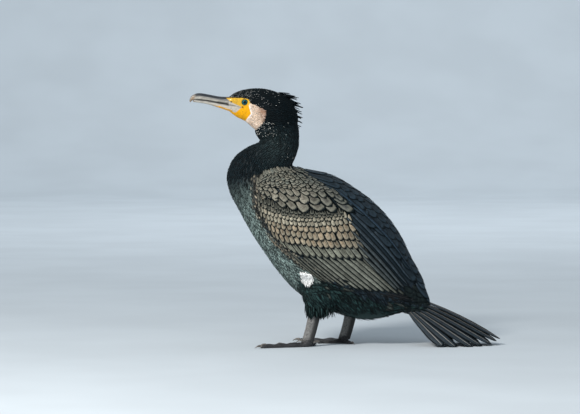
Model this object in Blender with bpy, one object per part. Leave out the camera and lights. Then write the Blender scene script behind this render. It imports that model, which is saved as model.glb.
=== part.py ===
"""A great cormorant at rest on level ground, life size.

The bird faces -X, its left side is -Y and its soles lie on z = 0. The origin is under the
middle of its length. The tables give the side view in millimetres: each section of the body
runs from a belly point to a back point and has a half width across Y.
"""

import math
import random

import bmesh
import bpy
import numpy as np
from mathutils import Matrix, Vector

MM = 0.001
GAP = 0.0003  # kept between touching pieces

# Belly x, z, back x, z, half width: from the wing tips up the trunk to the top of the neck.
TRUNK = (
    (141, 63, 140, 77, 8),
    (124, 60, 135, 92, 15),
    (94, 54, 127, 115, 23),
    (68, 46, 110.5, 145, 37),
    (36, 41, 95, 178, 51),
    (2, 48, 73, 210.5, 62),
    (-36, 63, 45, 239, 71),
    (-77.5, 87, 12, 263, 76),
    (-108.5, 120, -18, 280, 77),
    (-131.5, 152, -51, 289, 73),
    (-154.5, 187, -74, 294, 64),
    (-174, 222, -85, 297, 52),
    (-189.5, 252, -82, 304, 41),
    (-194.5, 280, -78, 312, 33),
    (-183.5, 308, -75, 322, 27.5),
    (-160.5, 326, -73.5, 331, 24.5),
    (-139, 336.5, -73.5, 340, 23),
    (-146, 347.5, -74, 355, 22),
    (-149, 362, -79, 376, 19),
)
VENT, SHOULDER, NECK_LOW, NECK_MID, NECK_TOP = 2, 11.5, 12.4, 14.6, 16.35  # rows of TRUNK
WING_TIP = 0
# How far up each section, from belly to back, the folded wing's lower edge lies.
WING_EDGE = (0.1, 0.25, 0.38, 0.33, 0.30, 0.27, 0.25, 0.20, 0.18, 0.19, 0.22, 0.31, 0.42)

HEAD = (
    (-190, 386, -190, 410, 8),
    (-177, 376, -178, 417.5, 13.5),
    (-162, 368.5, -163.5, 422, 18),
    (-148.5, 357, -145, 424, 21.5),
    (-135, 349, -127, 422.5, 23.5),
    (-119, 346, -109, 417, 24),
    (-101, 347, -93, 408.5, 22),
    (-86, 354, -82.5, 394.5, 17),
    (-77, 365, -76, 378, 8),
)
BILL_UPPER = (
    (-190.3, 397.4, -190.3, 409.7, 7.8),
    (-208, 400.4, -206.5, 410.5, 5.9),
    (-224.5, 403.3, -223, 413.6, 4.8),
    (-237.5, 404.8, -237, 415.7, 4.3),
    (-246, 404.6, -246, 414.3, 3.7),
    (-250.5, 403.2, -252.5, 409.8, 2.6),
    (-253.5, 400.6, -255, 403.2, 0.9),
)
BILL_LOWER = (
    (-190.3, 386.3, -190.3, 396.9, 7.6),
    (-209.5, 392.8, -208.5, 399.8, 5.3),
    (-227.5, 398, -227, 403.1, 4),
    (-242.5, 400.4, -242.5, 404.25, 3),
    (-248.6, 401.5, -248.6, 403.3, 1.4),
)
ROUNDNESS = 2.25  # exponent of the sections' superellipse

EYE = Vector((-163.4, 13.8, 401)) * MM
EYE_RADIUS = 6.2 * MM
LID_RADIUS, LID_THICKNESS = 5.6 * MM, 1.1 * MM
GAPE_END = Vector((-169, 0, 393.6)) * MM
GAPE_START = Vector((-196, 0, 397.2)) * MM

THIGH = (
    (-58, 142, -28, 142, 12),
    (-70, 120, -16, 120, 21),
    (-74, 98, -12, 98, 25),
    (-71, 81, -14, 79, 24),
    (-66, 64.5, -17, 59.5, 18.5),
    (-64, 53, -31, 47, 12.5),
    (-61.5, 45.5, -39.5, 45.5, 8),
)
TARSUS = (
    (-60.5, 45.2, -40.5, 45.2, 5.8),
    (-63, 33, -43.5, 33, 5.2),
    (-66.5, 20, -47, 20, 5),
    (-70, 10, -50, 11, 5.2),
)
LEG_SPREAD = 39 * MM  # each leg's distance from the middle plane
FAR_LEG_BACK = 62 * MM  # how far the right leg stands behind the left
ANKLE = Vector((-60, 0, 9)) * MM
TOES = (  # angle inwards from straight ahead in degrees, length, claw length, root radius
    (-21, 82, 11, 5.0),
    (-2, 70, 11, 4.8),
    (22, 48, 10, 4.5),
    (112, 32, 9, 4.0),
)
WEB_THICKNESS = 1.2 * MM

WING_THICK, WING_RIM = 10.5 * MM, 4.4 * MM
WING_RECESS = 3.0 * MM  # how far the wing's core lies under its feathers
WING_OVERHANG = 5 * MM  # of the lowest feathers past the core
# Rows of the left wing's feathers in the side view: how many, roots and tips from the breast
# to the back, half width, height of the tips over the form. All in millimetres.
WING_FEATHERS = {
    "primary": (
        4,
        ((24, 93), (45, 98), (62, 103), (78, 108)),
        ((84, 74), (104, 70), (124, 67.5), (143, 69)),
        7.5,
        -1.2,
    ),
    "secondary": (
        8,
        ((-97, 158), (-55, 144), (-10, 140), (40, 140)),
        ((-50, 116), (0, 100), (52, 92), (110, 82)),
        10,
        -0.8,
    ),
    "greater_covert": (
        7,
        ((-126, 201), (-82, 187), (-36, 180), (12, 178)),
        ((-119, 168), (-94, 154), (-58, 147), (-21, 144), (30, 146)),
        11.4,
        0.2,
    ),
    "median_covert": (
        7,
        ((-137, 230), (-88, 214), (-40, 201), (4, 194)),
        ((-126, 192), (-73, 168), (-23, 164), (16, 163)),
        11,
        1.1,
    ),
    "tertial": (
        3,
        ((35, 155), (50, 160), (64, 160)),
        ((84, 116), (110, 99), (135, 86)),
        10,
        0.8,
    ),
    "scapular": (
        6,
        ((-142, 258), (-106, 262), (-53, 256), (-2, 230), (30, 204)),
        ((-98, 229), (-56, 220), (-3, 208), (56, 168), (80, 143)),
        12,
        1.8,
    ),
}
BACK_FEATHERS = 3
WING_TOP, RIDGE = math.radians(3.2), math.radians(1.6)  # angles of the wing's and back's edges
WING_COLUMNS, BELLY_COLUMNS = 8, 4
TRUNK_STEPS = [VENT + (SHOULDER - VENT) * i / 17 for i in range(18)]
# Stations of a feather: share of its length, of its width and of its thickness.
FEATHER_LONG = ((0, 0.3, 0.8), (0.22, 0.65, 1), (0.55, 0.95, 1), (0.86, 0.84, 0.8), (1, 0.22, 0.5))
FEATHER_SHORT = ((0, 0.35, 0.8), (0.35, 0.75, 1), (0.78, 0.9, 0.85), (1, 0.25, 0.5))
FEATHER_THICKNESS = 0.8 * MM
FEATHER_LAP = 0.075  # slope across a feather, which tucks its upper edge under the next
SEED = 7
TAIL_COVERTS = (
    (95, 55.5, 110, 81, 14.5),
    (116, 46, 129, 74, 15),
    (137, 36, 148, 59, 12),
)
TAIL_TIPS = (  # x, z of the tip and its distance from the middle plane, middle feather first
    (258, 9.5, 5),
    (252, 7, 15),
    (243, 3.5, 25),
    (227, 1.5, 35),
    (211, 0.8, 44),
    (184, 0.8, 51),
    (162, 4, 54),
)
TAIL_FEATHER_WIDTH, TAIL_FEATHER_THICKNESS, TAIL_FEATHER_STEP = 10 * MM, 0.7 * MM, 1.2 * MM
TAIL_SHAFT = 0.4 * MM
TAIL_STATIONS = ((0, 0.45, 1), (0.35, 0.7, 1), (0.7, 0.95, 1), (0.93, 0.85, 0.8), (1, 0.35, 0.6))
CREST = (  # root x, z and tip x, z of each tier of locks, from the crown down the nape
    (-98, 414.5, -88, 414),
    (-94, 411, -76.5, 407),
    (-89, 406, -72.5, 399.5),
    (-86, 400, -67, 392.5),
    (-83, 393, -69.5, 384),
    (-80, 387, -71, 376.5),
    (-77, 378, -68.7, 368.5),
)
CREST_SIDES = (-7.5, 0.0, 7.5)

FINISHES = {  # colour and roughness of each part
    "head": ((0.010, 0.014, 0.017), 0.50),
    "bill_upper": ((0.300, 0.280, 0.240), 0.38),
    "bill_lower": ((0.440, 0.360, 0.240), 0.38),
    "eye": ((0.005, 0.150, 0.180), 0.10),
    "neck_upper": ((0.012, 0.018, 0.020), 0.50),
    "neck_lower": ((0.018, 0.025, 0.027), 0.55),
    "torso": ((0.032, 0.042, 0.044), 0.60),
    "wing": ((0.120, 0.098, 0.078), 0.50),
    "tail": ((0.024, 0.024, 0.025), 0.45),
    "thigh": ((0.012, 0.024, 0.024), 0.65),
    "tarsus": ((0.240, 0.225, 0.205), 0.55),
    "foot": ((0.030, 0.030, 0.033), 0.48),
}
CREST_WIDTH, CREST_THICKNESS = 4.2 * MM, 2.6 * MM


def resample(table, steps):
    """Rows of numbers read at the given row positions, on a smooth curve through them all."""
    rows = np.array(table, float)
    last = len(rows) - 1
    out = []
    for step in steps:
        i = min(int(step), last - 1)
        t = step - i
        a, b, c, d = (rows[min(max(j, 0), last)] for j in (i - 1, i, i + 1, i + 2))
        out.append(
            b + 0.5 * t * (c - a + t * (2 * a - 5 * b + 4 * c - d + t * (3 * (b - c) + d - a)))
        )
    return out


def section_point(row, angle, inset=0.0):
    """A point of a section. The angle runs from the back, through the left side at 90 degrees."""
    belly, back = Vector((row[0], 0, row[1])) * MM, Vector((row[2], 0, row[3])) * MM
    centre, up, width = (belly + back) / 2, (back - belly) / 2, row[4] * MM
    c, s = math.cos(angle), math.sin(angle)
    power = 2 / ROUNDNESS
    high, wide = math.copysign(abs(c) ** power, c), math.copysign(abs(s) ** power, s)
    point = centre + up * high - Vector((0, width * wide, 0))
    normal = (up.normalized() * c / up.length - Vector((0, s / width, 0))).normalized()
    return point - normal * inset


def mesh_object(name, points, faces, collection):
    mesh = bpy.data.meshes.new(name)
    mesh.from_pydata([tuple(p) for p in points], [], faces)
    mesh.validate()
    obj = bpy.data.objects.new(name, mesh)
    collection.objects.link(obj)
    return obj


def face_outwards(obj):
    bm = bmesh.new()
    bm.from_mesh(obj.data)
    bmesh.ops.remove_doubles(bm, verts=bm.verts, dist=1e-6)
    bmesh.ops.recalc_face_normals(bm, faces=bm.faces)
    bm.to_mesh(obj.data)
    bm.free()
    return obj


def loft(name, rings, collection):
    """A closed body through rings of equally many points."""
    count = len(rings[0])
    points = [p for ring in rings for p in ring]
    faces = []
    for i in range(len(rings) - 1):
        for j in range(count):
            k = (j + 1) % count
            a, b = i * count + j, i * count + k
            if points[a].z < points[b].z:  # one diagonal for both sides and both faces
                a, b = b, a
            c, d = a + count, b + count
            faces += [(a, b, d), (a, d, c)]
    for start in (0, len(points) - count):  # each end is closed by a ladder across the ring
        for j in range((count - 1) // 2):
            rung = [start + i for i in (j, j + 1, count - 2 - j, count - 1 - j)]
            faces.append(rung if rung[1] < rung[2] else (rung[0], rung[1], rung[3]))
    return face_outwards(mesh_object(name, points, faces, collection))


def section_loft(name, table, sides, collection, rings=None, shift=Vector(), inset=0.0):
    """A closed body through the sections of a table, moved by shift."""
    steps = np.linspace(0, len(table) - 1, rings or 2 * len(table) - 1)
    angles = [2 * math.pi * (j + 0.5) / sides for j in range(sides)]
    made = [
        [section_point(row, a, inset) + shift for a in angles] for row in resample(table, steps)
    ]
    return loft(name, made, collection)


def cut(obj, cutter, operation="DIFFERENCE"):
    """Applies a Boolean with one cutter object, which is then removed."""
    modifier = obj.modifiers.new("cut", "BOOLEAN")
    modifier.operation, modifier.object, modifier.solver = operation, cutter, "EXACT"
    apply_modifiers(obj)
    bpy.data.objects.remove(cutter)
    return obj


def apply_modifiers(obj):
    graph = bpy.context.evaluated_depsgraph_get()
    graph.update()
    mesh = bpy.data.meshes.new_from_object(obj.evaluated_get(graph))
    obj.modifiers.clear()
    obj.data = mesh


def fuse(obj, pieces):
    """Joins a collection of closed pieces to the object by one union and keeps its largest body."""
    modifier = obj.modifiers.new("fuse", "BOOLEAN")
    modifier.operation, modifier.operand_type = "UNION", "COLLECTION"
    modifier.collection, modifier.solver, modifier.use_self = pieces, "EXACT", True
    apply_modifiers(obj)
    for piece in list(pieces.objects):
        bpy.data.objects.remove(piece)
    return keep_largest(obj)


def keep_largest(obj):
    bm = bmesh.new()
    bm.from_mesh(obj.data)
    unseen, bodies = set(bm.verts), []
    while unseen:
        stack, body = [unseen.pop()], []
        while stack:
            vert = stack.pop()
            body.append(vert)
            for edge in vert.link_edges:
                other = edge.other_vert(vert)
                if other in unseen:
                    unseen.remove(other)
                    stack.append(other)
        bodies.append(body)
    bodies.sort(key=len)
    for body in bodies[:-1]:
        bmesh.ops.delete(bm, geom=body, context="VERTS")
    bm.to_mesh(obj.data)
    bm.free()
    return obj


def mirrored(obj, name, collection, shift=Vector()):
    """A copy on the other side of the middle plane, moved by shift."""
    copy = mesh_object(name, [], [], collection)
    copy.data = obj.data.copy()
    copy.data.transform(Matrix.Translation(shift) @ Matrix.Scale(-1, 4, (0, 1, 0)))
    copy.data.flip_normals()
    return copy


def material(name, colour, roughness):
    made = bpy.data.materials.new(name)
    made.use_nodes = True
    shader = made.node_tree.nodes["Principled BSDF"]
    shader.inputs["Base Color"].default_value = (*colour, 1)
    shader.inputs["Roughness"].default_value = roughness
    shader.inputs["Metallic"].default_value = 0.0
    return made


def wing_span(u):
    """Angles at which the wing's top edge, core and lowest feather tips lie on a section."""
    edge = resample([(e,) for e in WING_EDGE], [min(max(u, 0), len(WING_EDGE) - 1)])[0][0]
    low = math.acos(math.copysign(abs(2 * edge - 1) ** (ROUNDNESS / 2), 2 * edge - 1))
    return WING_TOP, low - WING_OVERHANG / arc_rate(u, low), low


def arc_rate(u, angle):
    """Length along a section for each radian of its angle."""
    row = resample(TRUNK, [u])[0]
    return (section_point(row, angle + 0.02) - section_point(row, angle - 0.02)).length / 0.04


def wing_angles(u):
    top, core, low = wing_span(u)
    return list(np.linspace(top, core, WING_COLUMNS + 1)) + [low]


def wing_thickness(u, angle):
    """Thickness of the folded wing over the trunk, thin at its rim."""
    top, core, low = wing_span(u)
    share = min(max((angle - top) / (core - top), 0), 1)
    across = math.sin(math.pi * share) ** 0.6
    along = math.sin(math.pi * min(max(u / SHOULDER, 0.02), 0.98)) ** 0.5
    return WING_RIM + (WING_THICK - WING_RIM) * across * along


def trunk_ring(u, winged):
    """One ring of the trunk at row position u, sunk under the wings where winged."""
    row = resample(TRUNK, [u])[0]
    under = wing_angles(u)
    ledge = under[-1] + 1.5 * MM / arc_rate(u, under[-1])
    half = [(RIDGE, 0.0), ((RIDGE + WING_TOP) / 2, wing_thickness(u, 0) if winged else 0.0)]
    half += [(a, wing_thickness(u, a) if winged else 0.0) for a in under]
    half += [(a, 0.0) for a in np.linspace(ledge, math.pi, BELLY_COLUMNS + 1)]
    left = [section_point(row, a, inset) for a, inset in half]
    right = [Vector((p.x, -p.y, p.z)) for p in reversed(left[:-1])]
    return [section_point(row, 0)] + left + right


def shifted(ring, distance):
    """The ring moved along its own plane's normal, which points up the trunk."""
    a, b = ring[len(ring) // 4] - ring[0], ring[len(ring) // 2] - ring[0]
    normal = a.cross(b).normalized()
    if normal.x > 0:
        normal = -normal
    return [p + normal * distance for p in ring]


def make_torso(collection):
    rings = [trunk_ring(u, True) for u in TRUNK_STEPS]
    rings.append(trunk_ring(SHOULDER + 0.03, True))
    rings += [trunk_ring(u, False) for u in (SHOULDER + 0.16, (SHOULDER + NECK_LOW) / 2)]
    rings.append(shifted(trunk_ring(NECK_LOW, False), -GAP / 2))
    return loft("torso", rings, collection)


def make_neck(name, low, high, count, collection):
    rings = [trunk_ring(u, False) for u in np.linspace(low, high, count)]
    rings[0] = shifted(rings[0], GAP / 2)
    rings[-1] = shifted(rings[-1], -GAP / 2)
    return loft(name, rings, collection)


def wing_shell(name, lift, collection):
    """A shell over the trunk from the wing tips to the shoulder, its outside lifted by lift."""
    rings = []
    for u in [WING_TIP + 0.05, 0.7, 1.35] + TRUNK_STEPS:
        row = resample(TRUNK, [u])[0]
        angles = wing_angles(u)
        if lift < 0:
            angles = angles[:-1]
        else:
            angles[-1] += lift / arc_rate(u, angles[-1])
        level = lift * min(1, (SHOULDER - u) / 0.8) if lift < 0 else lift
        outer = [section_point(row, a, -level) for a in angles]
        inner = [section_point(row, a, wing_thickness(u, a) - GAP * 1.3) for a in angles]
        rings.append(outer + inner[::-1])
    return loft(name, rings, collection)


def wing_clearance(side, collection):
    """The room that a wing and its feathers take, on the left for side 1."""
    shell = wing_shell("wing_clearance", 3.2 * MM, collection)
    if side < 0:
        shell.data.transform(Matrix.Scale(-1, 4, (0, 1, 0)))
        shell.data.flip_normals()
    return shell


def form_point(u, angle, lift=0.0):
    return section_point(resample(TRUNK, [u])[0], angle, -lift)


def form_frame(u, angle):
    """The trunk's surface there, its slopes along the row and the angle, and its normal."""
    step = 0.01
    along = (form_point(u + step, angle) - form_point(u - step, angle)) / (2 * step)
    around = (form_point(u, angle + step) - form_point(u, angle - step)) / (2 * step)
    return form_point(u, angle), along, around, along.cross(around).normalized()


def locate(x, z):
    """Row position and angle of the point of the left side seen at x and z millimetres."""
    target = Vector((x, 0, z)) * MM

    def miss(place):
        spot = form_point(*place)
        return math.hypot(spot.x - target.x, spot.z - target.z)

    grid = [(0.05 + 0.3 * i, 0.06 + 0.1 * j) for i in range(40) for j in range(30)]
    best = min(grid, key=miss)
    reach = 0.15
    while reach > 0.002:
        near = [
            (min(max(best[0] + i * reach, 0.02), 12), min(max(best[1] + j * reach * 0.3, 0.05), 3.1))
            for i in (-1, 0, 1)
            for j in (-1, 0, 1)
        ]
        found = min(near, key=miss)
        if found == best:
            reach /= 2
        best = found
    return best


def within_wing(u, angle):
    """The place moved smoothly inside the wing's top and lower edges."""
    u = min(max(u, 0.02), SHOULDER - 0.15)
    top, _, low = wing_span(u)
    for edge, margin in ((top, 0.12), (low, -0.25)):
        inside = (angle - edge) / margin
        if inside < 1:
            angle = edge + margin * math.exp(inside - 1)
    return u, angle


def feather(name, point_at, half_width, thickness, shaft, stations, collection):
    """A closed vane, thicker along its middle by the height of its shaft.

    point_at gives a point from a share of the length, an offset across and a lift.
    """
    rings = []
    for share, width, thick in stations:
        w, e, t = half_width * width, thickness * thick / 2, (thickness / 2 + shaft) * thick
        outline = ((-w, e), (0, t), (w, e), (w, -e), (0, -t), (-w, -e))
        if not shaft:
            outline = ((-w, e), (w, e), (w, -e), (-w, -e))
        rings.append([point_at(share, across, lift) for across, lift in outline])
    return loft(name, rings, collection)


def wing_feather(name, root, tip, half_width, tip_lift, lap, stations, collection):
    """A feather that follows the trunk's form, its root sunk in the wing's core."""
    (u0, a0), (u1, a1) = root, tip

    def point_at(share, across, lift):
        u, angle = u0 + (u1 - u0) * share, a0 + (a1 - a0) * share
        spot, along, around, normal = form_frame(u, angle)
        ahead = (along * (u1 - u0) + around * (a1 - a0)).normalized()
        side = normal.cross(ahead)
        basis = np.array([along, around]).T
        turn = np.linalg.lstsq(basis, np.array(side * across), rcond=None)[0]
        place = within_wing(u + turn[0], angle + turn[1])
        spot, _, _, normal = form_frame(*place)
        room = wing_thickness(*place) - GAP * 1.3 - WING_RECESS
        rise = min(1, share / stations[1][0])
        level = (-WING_RECESS - 0.45 * room) * (1 - rise) + tip_lift * share * rise
        return spot + normal * (level + lift - lap * across * rise)

    return feather(name, point_at, half_width, FEATHER_THICKNESS, 0.0, stations, collection)


def make_wing(collection, workshop):
    """The left folded wing: a core with tiers of feathers that overlap like tiles."""
    wing = wing_shell("wing_left", -WING_RECESS, collection)
    chance = random.Random(SEED)
    tiers = []
    for kind, (count, roots, tips, half_width, lift) in WING_FEATHERS.items():
        for number in range(count):
            share = number / (count - 1)
            root = resample(roots, [share * (len(roots) - 1)])[0]
            tip = resample(tips, [share * (len(tips) - 1)])[0]
            longer = 1 + chance.uniform(-0.03, 0.04)
            end = root + (tip - root) * longer
            tiers.append((f"{kind}_{number}", locate(*root), locate(*end), half_width, lift))
    for number in range(BACK_FEATHERS):
        u = 5.8 - 2.1 * number
        angle = math.radians(18 + 5 * number)
        width = 11 - 1.6 * number
        tiers.append((f"back_{number}", (u + 2.4, angle), (max(u, 0.5), angle), width, 1.9))
    for name, root, tip, half_width, lift in tiers:
        length = (form_point(*tip) - form_point(*root)).length
        stations = FEATHER_LONG if length > 0.055 else FEATHER_SHORT
        args = (half_width * MM, lift * MM, FEATHER_LAP, stations, workshop)
        wing_feather(name, root, tip, *args)
    return fuse(wing, workshop)


def lock(name, root, tip, width, thickness, droop, collection):
    """A flat tapered tuft from root to tip that sags a little."""
    ahead = tip - root
    side = ahead.cross(Vector((0, 1, 0))).cross(ahead).normalized()
    normal = ahead.cross(side).normalized()
    rings = []
    for share, scale in ((0, 1.0), (0.5, 0.85), (1.0, 0.16)):
        middle = root + ahead * share - Vector((0, 0, droop * 4 * share * (1 - share)))
        w, t = width * scale / 2, thickness * scale / 2
        outline = ((-w, 0), (0, t), (w, 0), (0, -t))
        rings.append([middle + side * across + normal * up for across, up in outline])
    return loft(name, rings, collection)


def make_head(collection, workshop):
    head = section_loft("head", HEAD, 20, collection)
    rings = [trunk_ring(u, False) for u in np.linspace(NECK_TOP, len(TRUNK) - 1, 4)]
    rings[0] = shifted(rings[0], GAP / 2)
    loft("neck_top", rings, workshop)
    for side in (-1, 1):
        centre = Vector((EYE.x, side * (EYE.y + 3.4 * MM), EYE.z))
        torus("lid", centre, LID_RADIUS, LID_THICKNESS, workshop)
    chance = random.Random(SEED)
    for number, (x, z, tip_x, tip_z) in enumerate(CREST):
        for y in CREST_SIDES:
            shift = chance.uniform(-1.5, 1.5)
            spread = y * (0.8 - 0.05 * number)
            root = Vector((x - 4 + abs(y) * 0.35, spread, z + shift * 0.5)) * MM
            tip = Vector((tip_x - abs(y) * 0.45 + shift, spread * 0.8, tip_z + shift)) * MM
            lock("lock", root, tip, CREST_WIDTH, CREST_THICKNESS, 0.6 * MM, workshop)
    fuse(head, workshop)
    for side in (-1, 1):
        cut(head, ball("socket", eye_centre(side), EYE_RADIUS + GAP, workshop))
        cut(head, mouth_groove(side, workshop))
    return keep_largest(head)


def mouth_groove(side, collection):
    """A wedge that cuts the line of the mouth back from the bill to under the eye."""
    rings = []
    for x, z, deep in ((-191, 397.1, 6.2), (-180, 395.8, 10.6), (-169, 393.8, 15.2)):
        inner, outer, half = side * deep, side * 30, 1.6
        rings.append([Vector(p) * MM for p in ((x, inner, z), (x, outer, z + half), (x, outer, z - half))])
    return loft("mouth_line", rings, collection)


def eye_centre(side):
    return Vector((EYE.x, side * EYE.y, EYE.z))


def torus(name, centre, radius, thickness, collection):
    """A ring lying in the plane of X and Z."""
    points, faces, around, across = [], [], 16, 6
    for i in range(around):
        a = 2 * math.pi * i / around
        outward = Vector((math.cos(a), 0, math.sin(a)))
        for j in range(across):
            b = 2 * math.pi * j / across
            rim = outward * (radius + thickness * math.cos(b))
            points.append(centre + rim + Vector((0, thickness * math.sin(b), 0)))
            near, far = (j + 1) % across, (i + 1) % around * across
            faces.append((i * across + j, i * across + near, far + near, far + j))
    return face_outwards(mesh_object(name, points, faces, collection))


def ball(name, centre, radius, collection):
    mesh = bpy.data.meshes.new(name)
    bm = bmesh.new()
    bmesh.ops.create_uvsphere(bm, u_segments=16, v_segments=10, radius=radius)
    bm.to_mesh(mesh)
    bm.free()
    mesh.transform(Matrix.Translation(centre))
    obj = bpy.data.objects.new(name, mesh)
    collection.objects.link(obj)
    return obj


def make_thigh(torso, collection):
    """The left thigh's feathers, hollowed to meet the flank with a gap."""
    thigh = section_loft(
        "thigh_left", THIGH, 16, collection, shift=Vector((0, -LEG_SPREAD, 0))
    )
    return thigh


def inflated(obj, distance, collection):
    """A copy of a closed body with its surface moved outwards."""
    bm = bmesh.new()
    bm.from_mesh(obj.data)
    bm.normal_update()
    offsets = [v.normal * distance * v.calc_shell_factor() for v in bm.verts]
    for vert, offset in zip(bm.verts, offsets):
        vert.co += offset
    copy = mesh_object(obj.name + "_cutter", [], [], collection)
    bm.to_mesh(copy.data)
    bm.free()
    return copy


def make_foot(collection, workshop):
    """The left foot: four toes joined by webs, flat under the pads."""
    ankle = ANKLE + Vector((0, -LEG_SPREAD, 0))
    foot = ball("foot_left", ankle, 7 * MM, collection)
    tips = []
    for number, (angle, length, claw, radius) in enumerate(TOES):
        turn = math.radians(angle)
        ahead = Vector((-math.cos(turn), math.sin(turn), 0))
        rows = ((0, 1.0), (0.33, 0.8), (0.66, 0.66), (1, 0.5), (1 + claw / length, 0.1))
        rings = []
        for share, scale in rows:
            thick = radius * scale * MM
            middle = Vector((ankle.x, ankle.y, 0)) + ahead * share * length * MM
            middle.z = thick * 0.75
            side = Vector((-ahead.y, ahead.x, 0))
            rings.append(
                [
                    middle + side * thick * math.cos(a) + Vector((0, 0, thick * math.sin(a)))
                    for a in (2 * math.pi * k / 8 for k in range(8))
                ]
            )
        loft(f"toe_{number}", rings, workshop)
        tips.append(Vector((ankle.x, ankle.y, 0)) + ahead * length * 0.93 * MM)
    for first, second in zip(tips, tips[1:]):
        hub = Vector((ankle.x, ankle.y, 0))
        middle = hub + ((first + second) / 2 - hub) * 0.86
        outline = [hub, first, middle, second]
        low, high = Vector((0, 0, 0.4 * MM)), Vector((0, 0, 0.4 * MM + WEB_THICKNESS))
        loft("web", [[p + low for p in outline], [p + high for p in outline]], workshop)
    fuse(foot, workshop)
    return flatten_below(foot, 0.0)


def flatten_below(obj, level):
    """Cuts off what lies under the level and closes the cut."""
    bm = bmesh.new()
    bm.from_mesh(obj.data)
    made = bmesh.ops.bisect_plane(
        bm,
        geom=bm.verts[:] + bm.edges[:] + bm.faces[:],
        plane_co=(0, 0, level),
        plane_no=(0, 0, -1),
        clear_outer=True,
    )
    edges = [e for e in made["geom_cut"] if isinstance(e, bmesh.types.BMEdge)]
    bmesh.ops.holes_fill(bm, edges=edges)
    bm.to_mesh(obj.data)
    bm.free()
    return face_outwards(obj)


def make_tail(collection, workshop):
    """Tail coverts with a tented fan of stiff feathers, the middle pair longest and on top."""
    tail = section_loft("tail", TAIL_COVERTS, 12, collection)
    last = len(TAIL_TIPS) - 1
    for number, (x, z, y) in reversed(list(enumerate(TAIL_TIPS))):
        share = number / last
        slope = math.radians(17 + 30 * share)
        base = Vector((110, -1.5 - 8 * share, 82 - 20 * share)) * MM
        tip = Vector((x, -y, z)) * MM
        ahead = (tip - base).normalized()
        level = Vector((0, -math.cos(slope), -math.sin(slope)))
        up = level.cross(ahead).normalized()
        if up.z < 0:
            up = -up
        side = ahead.cross(up)
        if side.y > 0:
            side = -side
        sink = up * -TAIL_FEATHER_STEP * number * 0.5

        def point_at(along, across, lift):
            arch = up * 5 * MM * math.sin(math.pi * along) * (1 - share)
            return base.lerp(tip, along) + side * across + up * lift + sink + arch

        for mirror in (1, -1):
            made = feather(
                f"feather_{number}",
                point_at,
                TAIL_FEATHER_WIDTH,
                TAIL_FEATHER_THICKNESS,
                TAIL_SHAFT,
                TAIL_STATIONS,
                workshop,
            )
            if mirror < 0:
                made.data.transform(Matrix.Scale(-1, 4, (0, 1, 0)))
                made.data.flip_normals()
    fuse(tail, workshop)
    return flatten_below(tail, 0.0)


def main():
    for obj in list(bpy.data.objects):
        bpy.data.objects.remove(obj)
    bird = bpy.data.collections.new("cormorant")
    workshop = bpy.data.collections.new("workshop")
    for collection in (bird, workshop):
        bpy.context.scene.collection.children.link(collection)

    torso = make_torso(bird)
    make_neck("neck_lower", NECK_LOW, NECK_MID, 6, bird)
    make_neck("neck_upper", NECK_MID, NECK_TOP, 5, bird)
    make_head(bird, workshop)
    section_loft("bill_upper", BILL_UPPER, 12, bird)
    section_loft("bill_lower", BILL_LOWER, 12, bird)
    ball("eye_left", eye_centre(-1), EYE_RADIUS, bird)
    ball("eye_right", eye_centre(1), EYE_RADIUS, bird)
    wing = make_wing(bird, workshop)
    mirrored(wing, "wing_right", bird)
    tail = make_tail(bird, workshop)
    cut(tail, inflated(torso, GAP * 1.5, workshop))
    for side in (1, -1):
        cut(tail, wing_clearance(side, workshop))
    keep_largest(tail)

    step = Vector((FAR_LEG_BACK, 0, 0))
    thigh = make_thigh(torso, bird)
    far_thigh = mirrored(thigh, "thigh_right", bird, step)
    for piece, side in ((thigh, 1), (far_thigh, -1)):
        cut(piece, inflated(torso, GAP * 1.5, workshop))
        cut(piece, wing_clearance(side, workshop))
        keep_largest(piece)
    tarsus = section_loft(
        "tarsus_left", TARSUS, 12, bird, shift=Vector((0, -LEG_SPREAD, 0))
    )
    mirrored(tarsus, "tarsus_right", bird, step)
    foot = make_foot(bird, workshop)
    cut(foot, inflated(tarsus, GAP * 1.5, workshop))
    mirrored(keep_largest(foot), "foot_right", bird, step)

    for obj in bird.objects:
        colour, roughness = FINISHES[obj.name.replace("_left", "").replace("_right", "")]
        obj.data.materials.clear()
        obj.data.materials.append(material(obj.name + "_finish", colour, roughness))
    for obj in workshop.objects:
        obj.hide_render = True
        obj.display_type = "WIRE"


main()
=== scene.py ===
import math

import bmesh
import bpy
import numpy as np
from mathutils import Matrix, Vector
from mathutils.bvhtree import BVHTree


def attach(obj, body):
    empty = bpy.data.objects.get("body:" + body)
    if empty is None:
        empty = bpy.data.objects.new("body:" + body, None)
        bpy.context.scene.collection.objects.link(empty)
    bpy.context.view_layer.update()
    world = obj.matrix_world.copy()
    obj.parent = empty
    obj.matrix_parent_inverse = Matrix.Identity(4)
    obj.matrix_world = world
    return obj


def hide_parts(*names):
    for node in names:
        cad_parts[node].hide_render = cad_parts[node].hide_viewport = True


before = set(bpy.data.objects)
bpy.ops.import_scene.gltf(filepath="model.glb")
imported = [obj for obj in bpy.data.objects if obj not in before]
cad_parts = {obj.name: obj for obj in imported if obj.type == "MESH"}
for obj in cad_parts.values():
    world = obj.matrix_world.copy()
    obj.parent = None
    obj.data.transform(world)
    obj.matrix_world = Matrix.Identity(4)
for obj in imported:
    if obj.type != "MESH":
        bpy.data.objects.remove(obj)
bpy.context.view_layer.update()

# sizes
MM = 0.001
SEED = 7
chance = np.random.default_rng(SEED)

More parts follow.
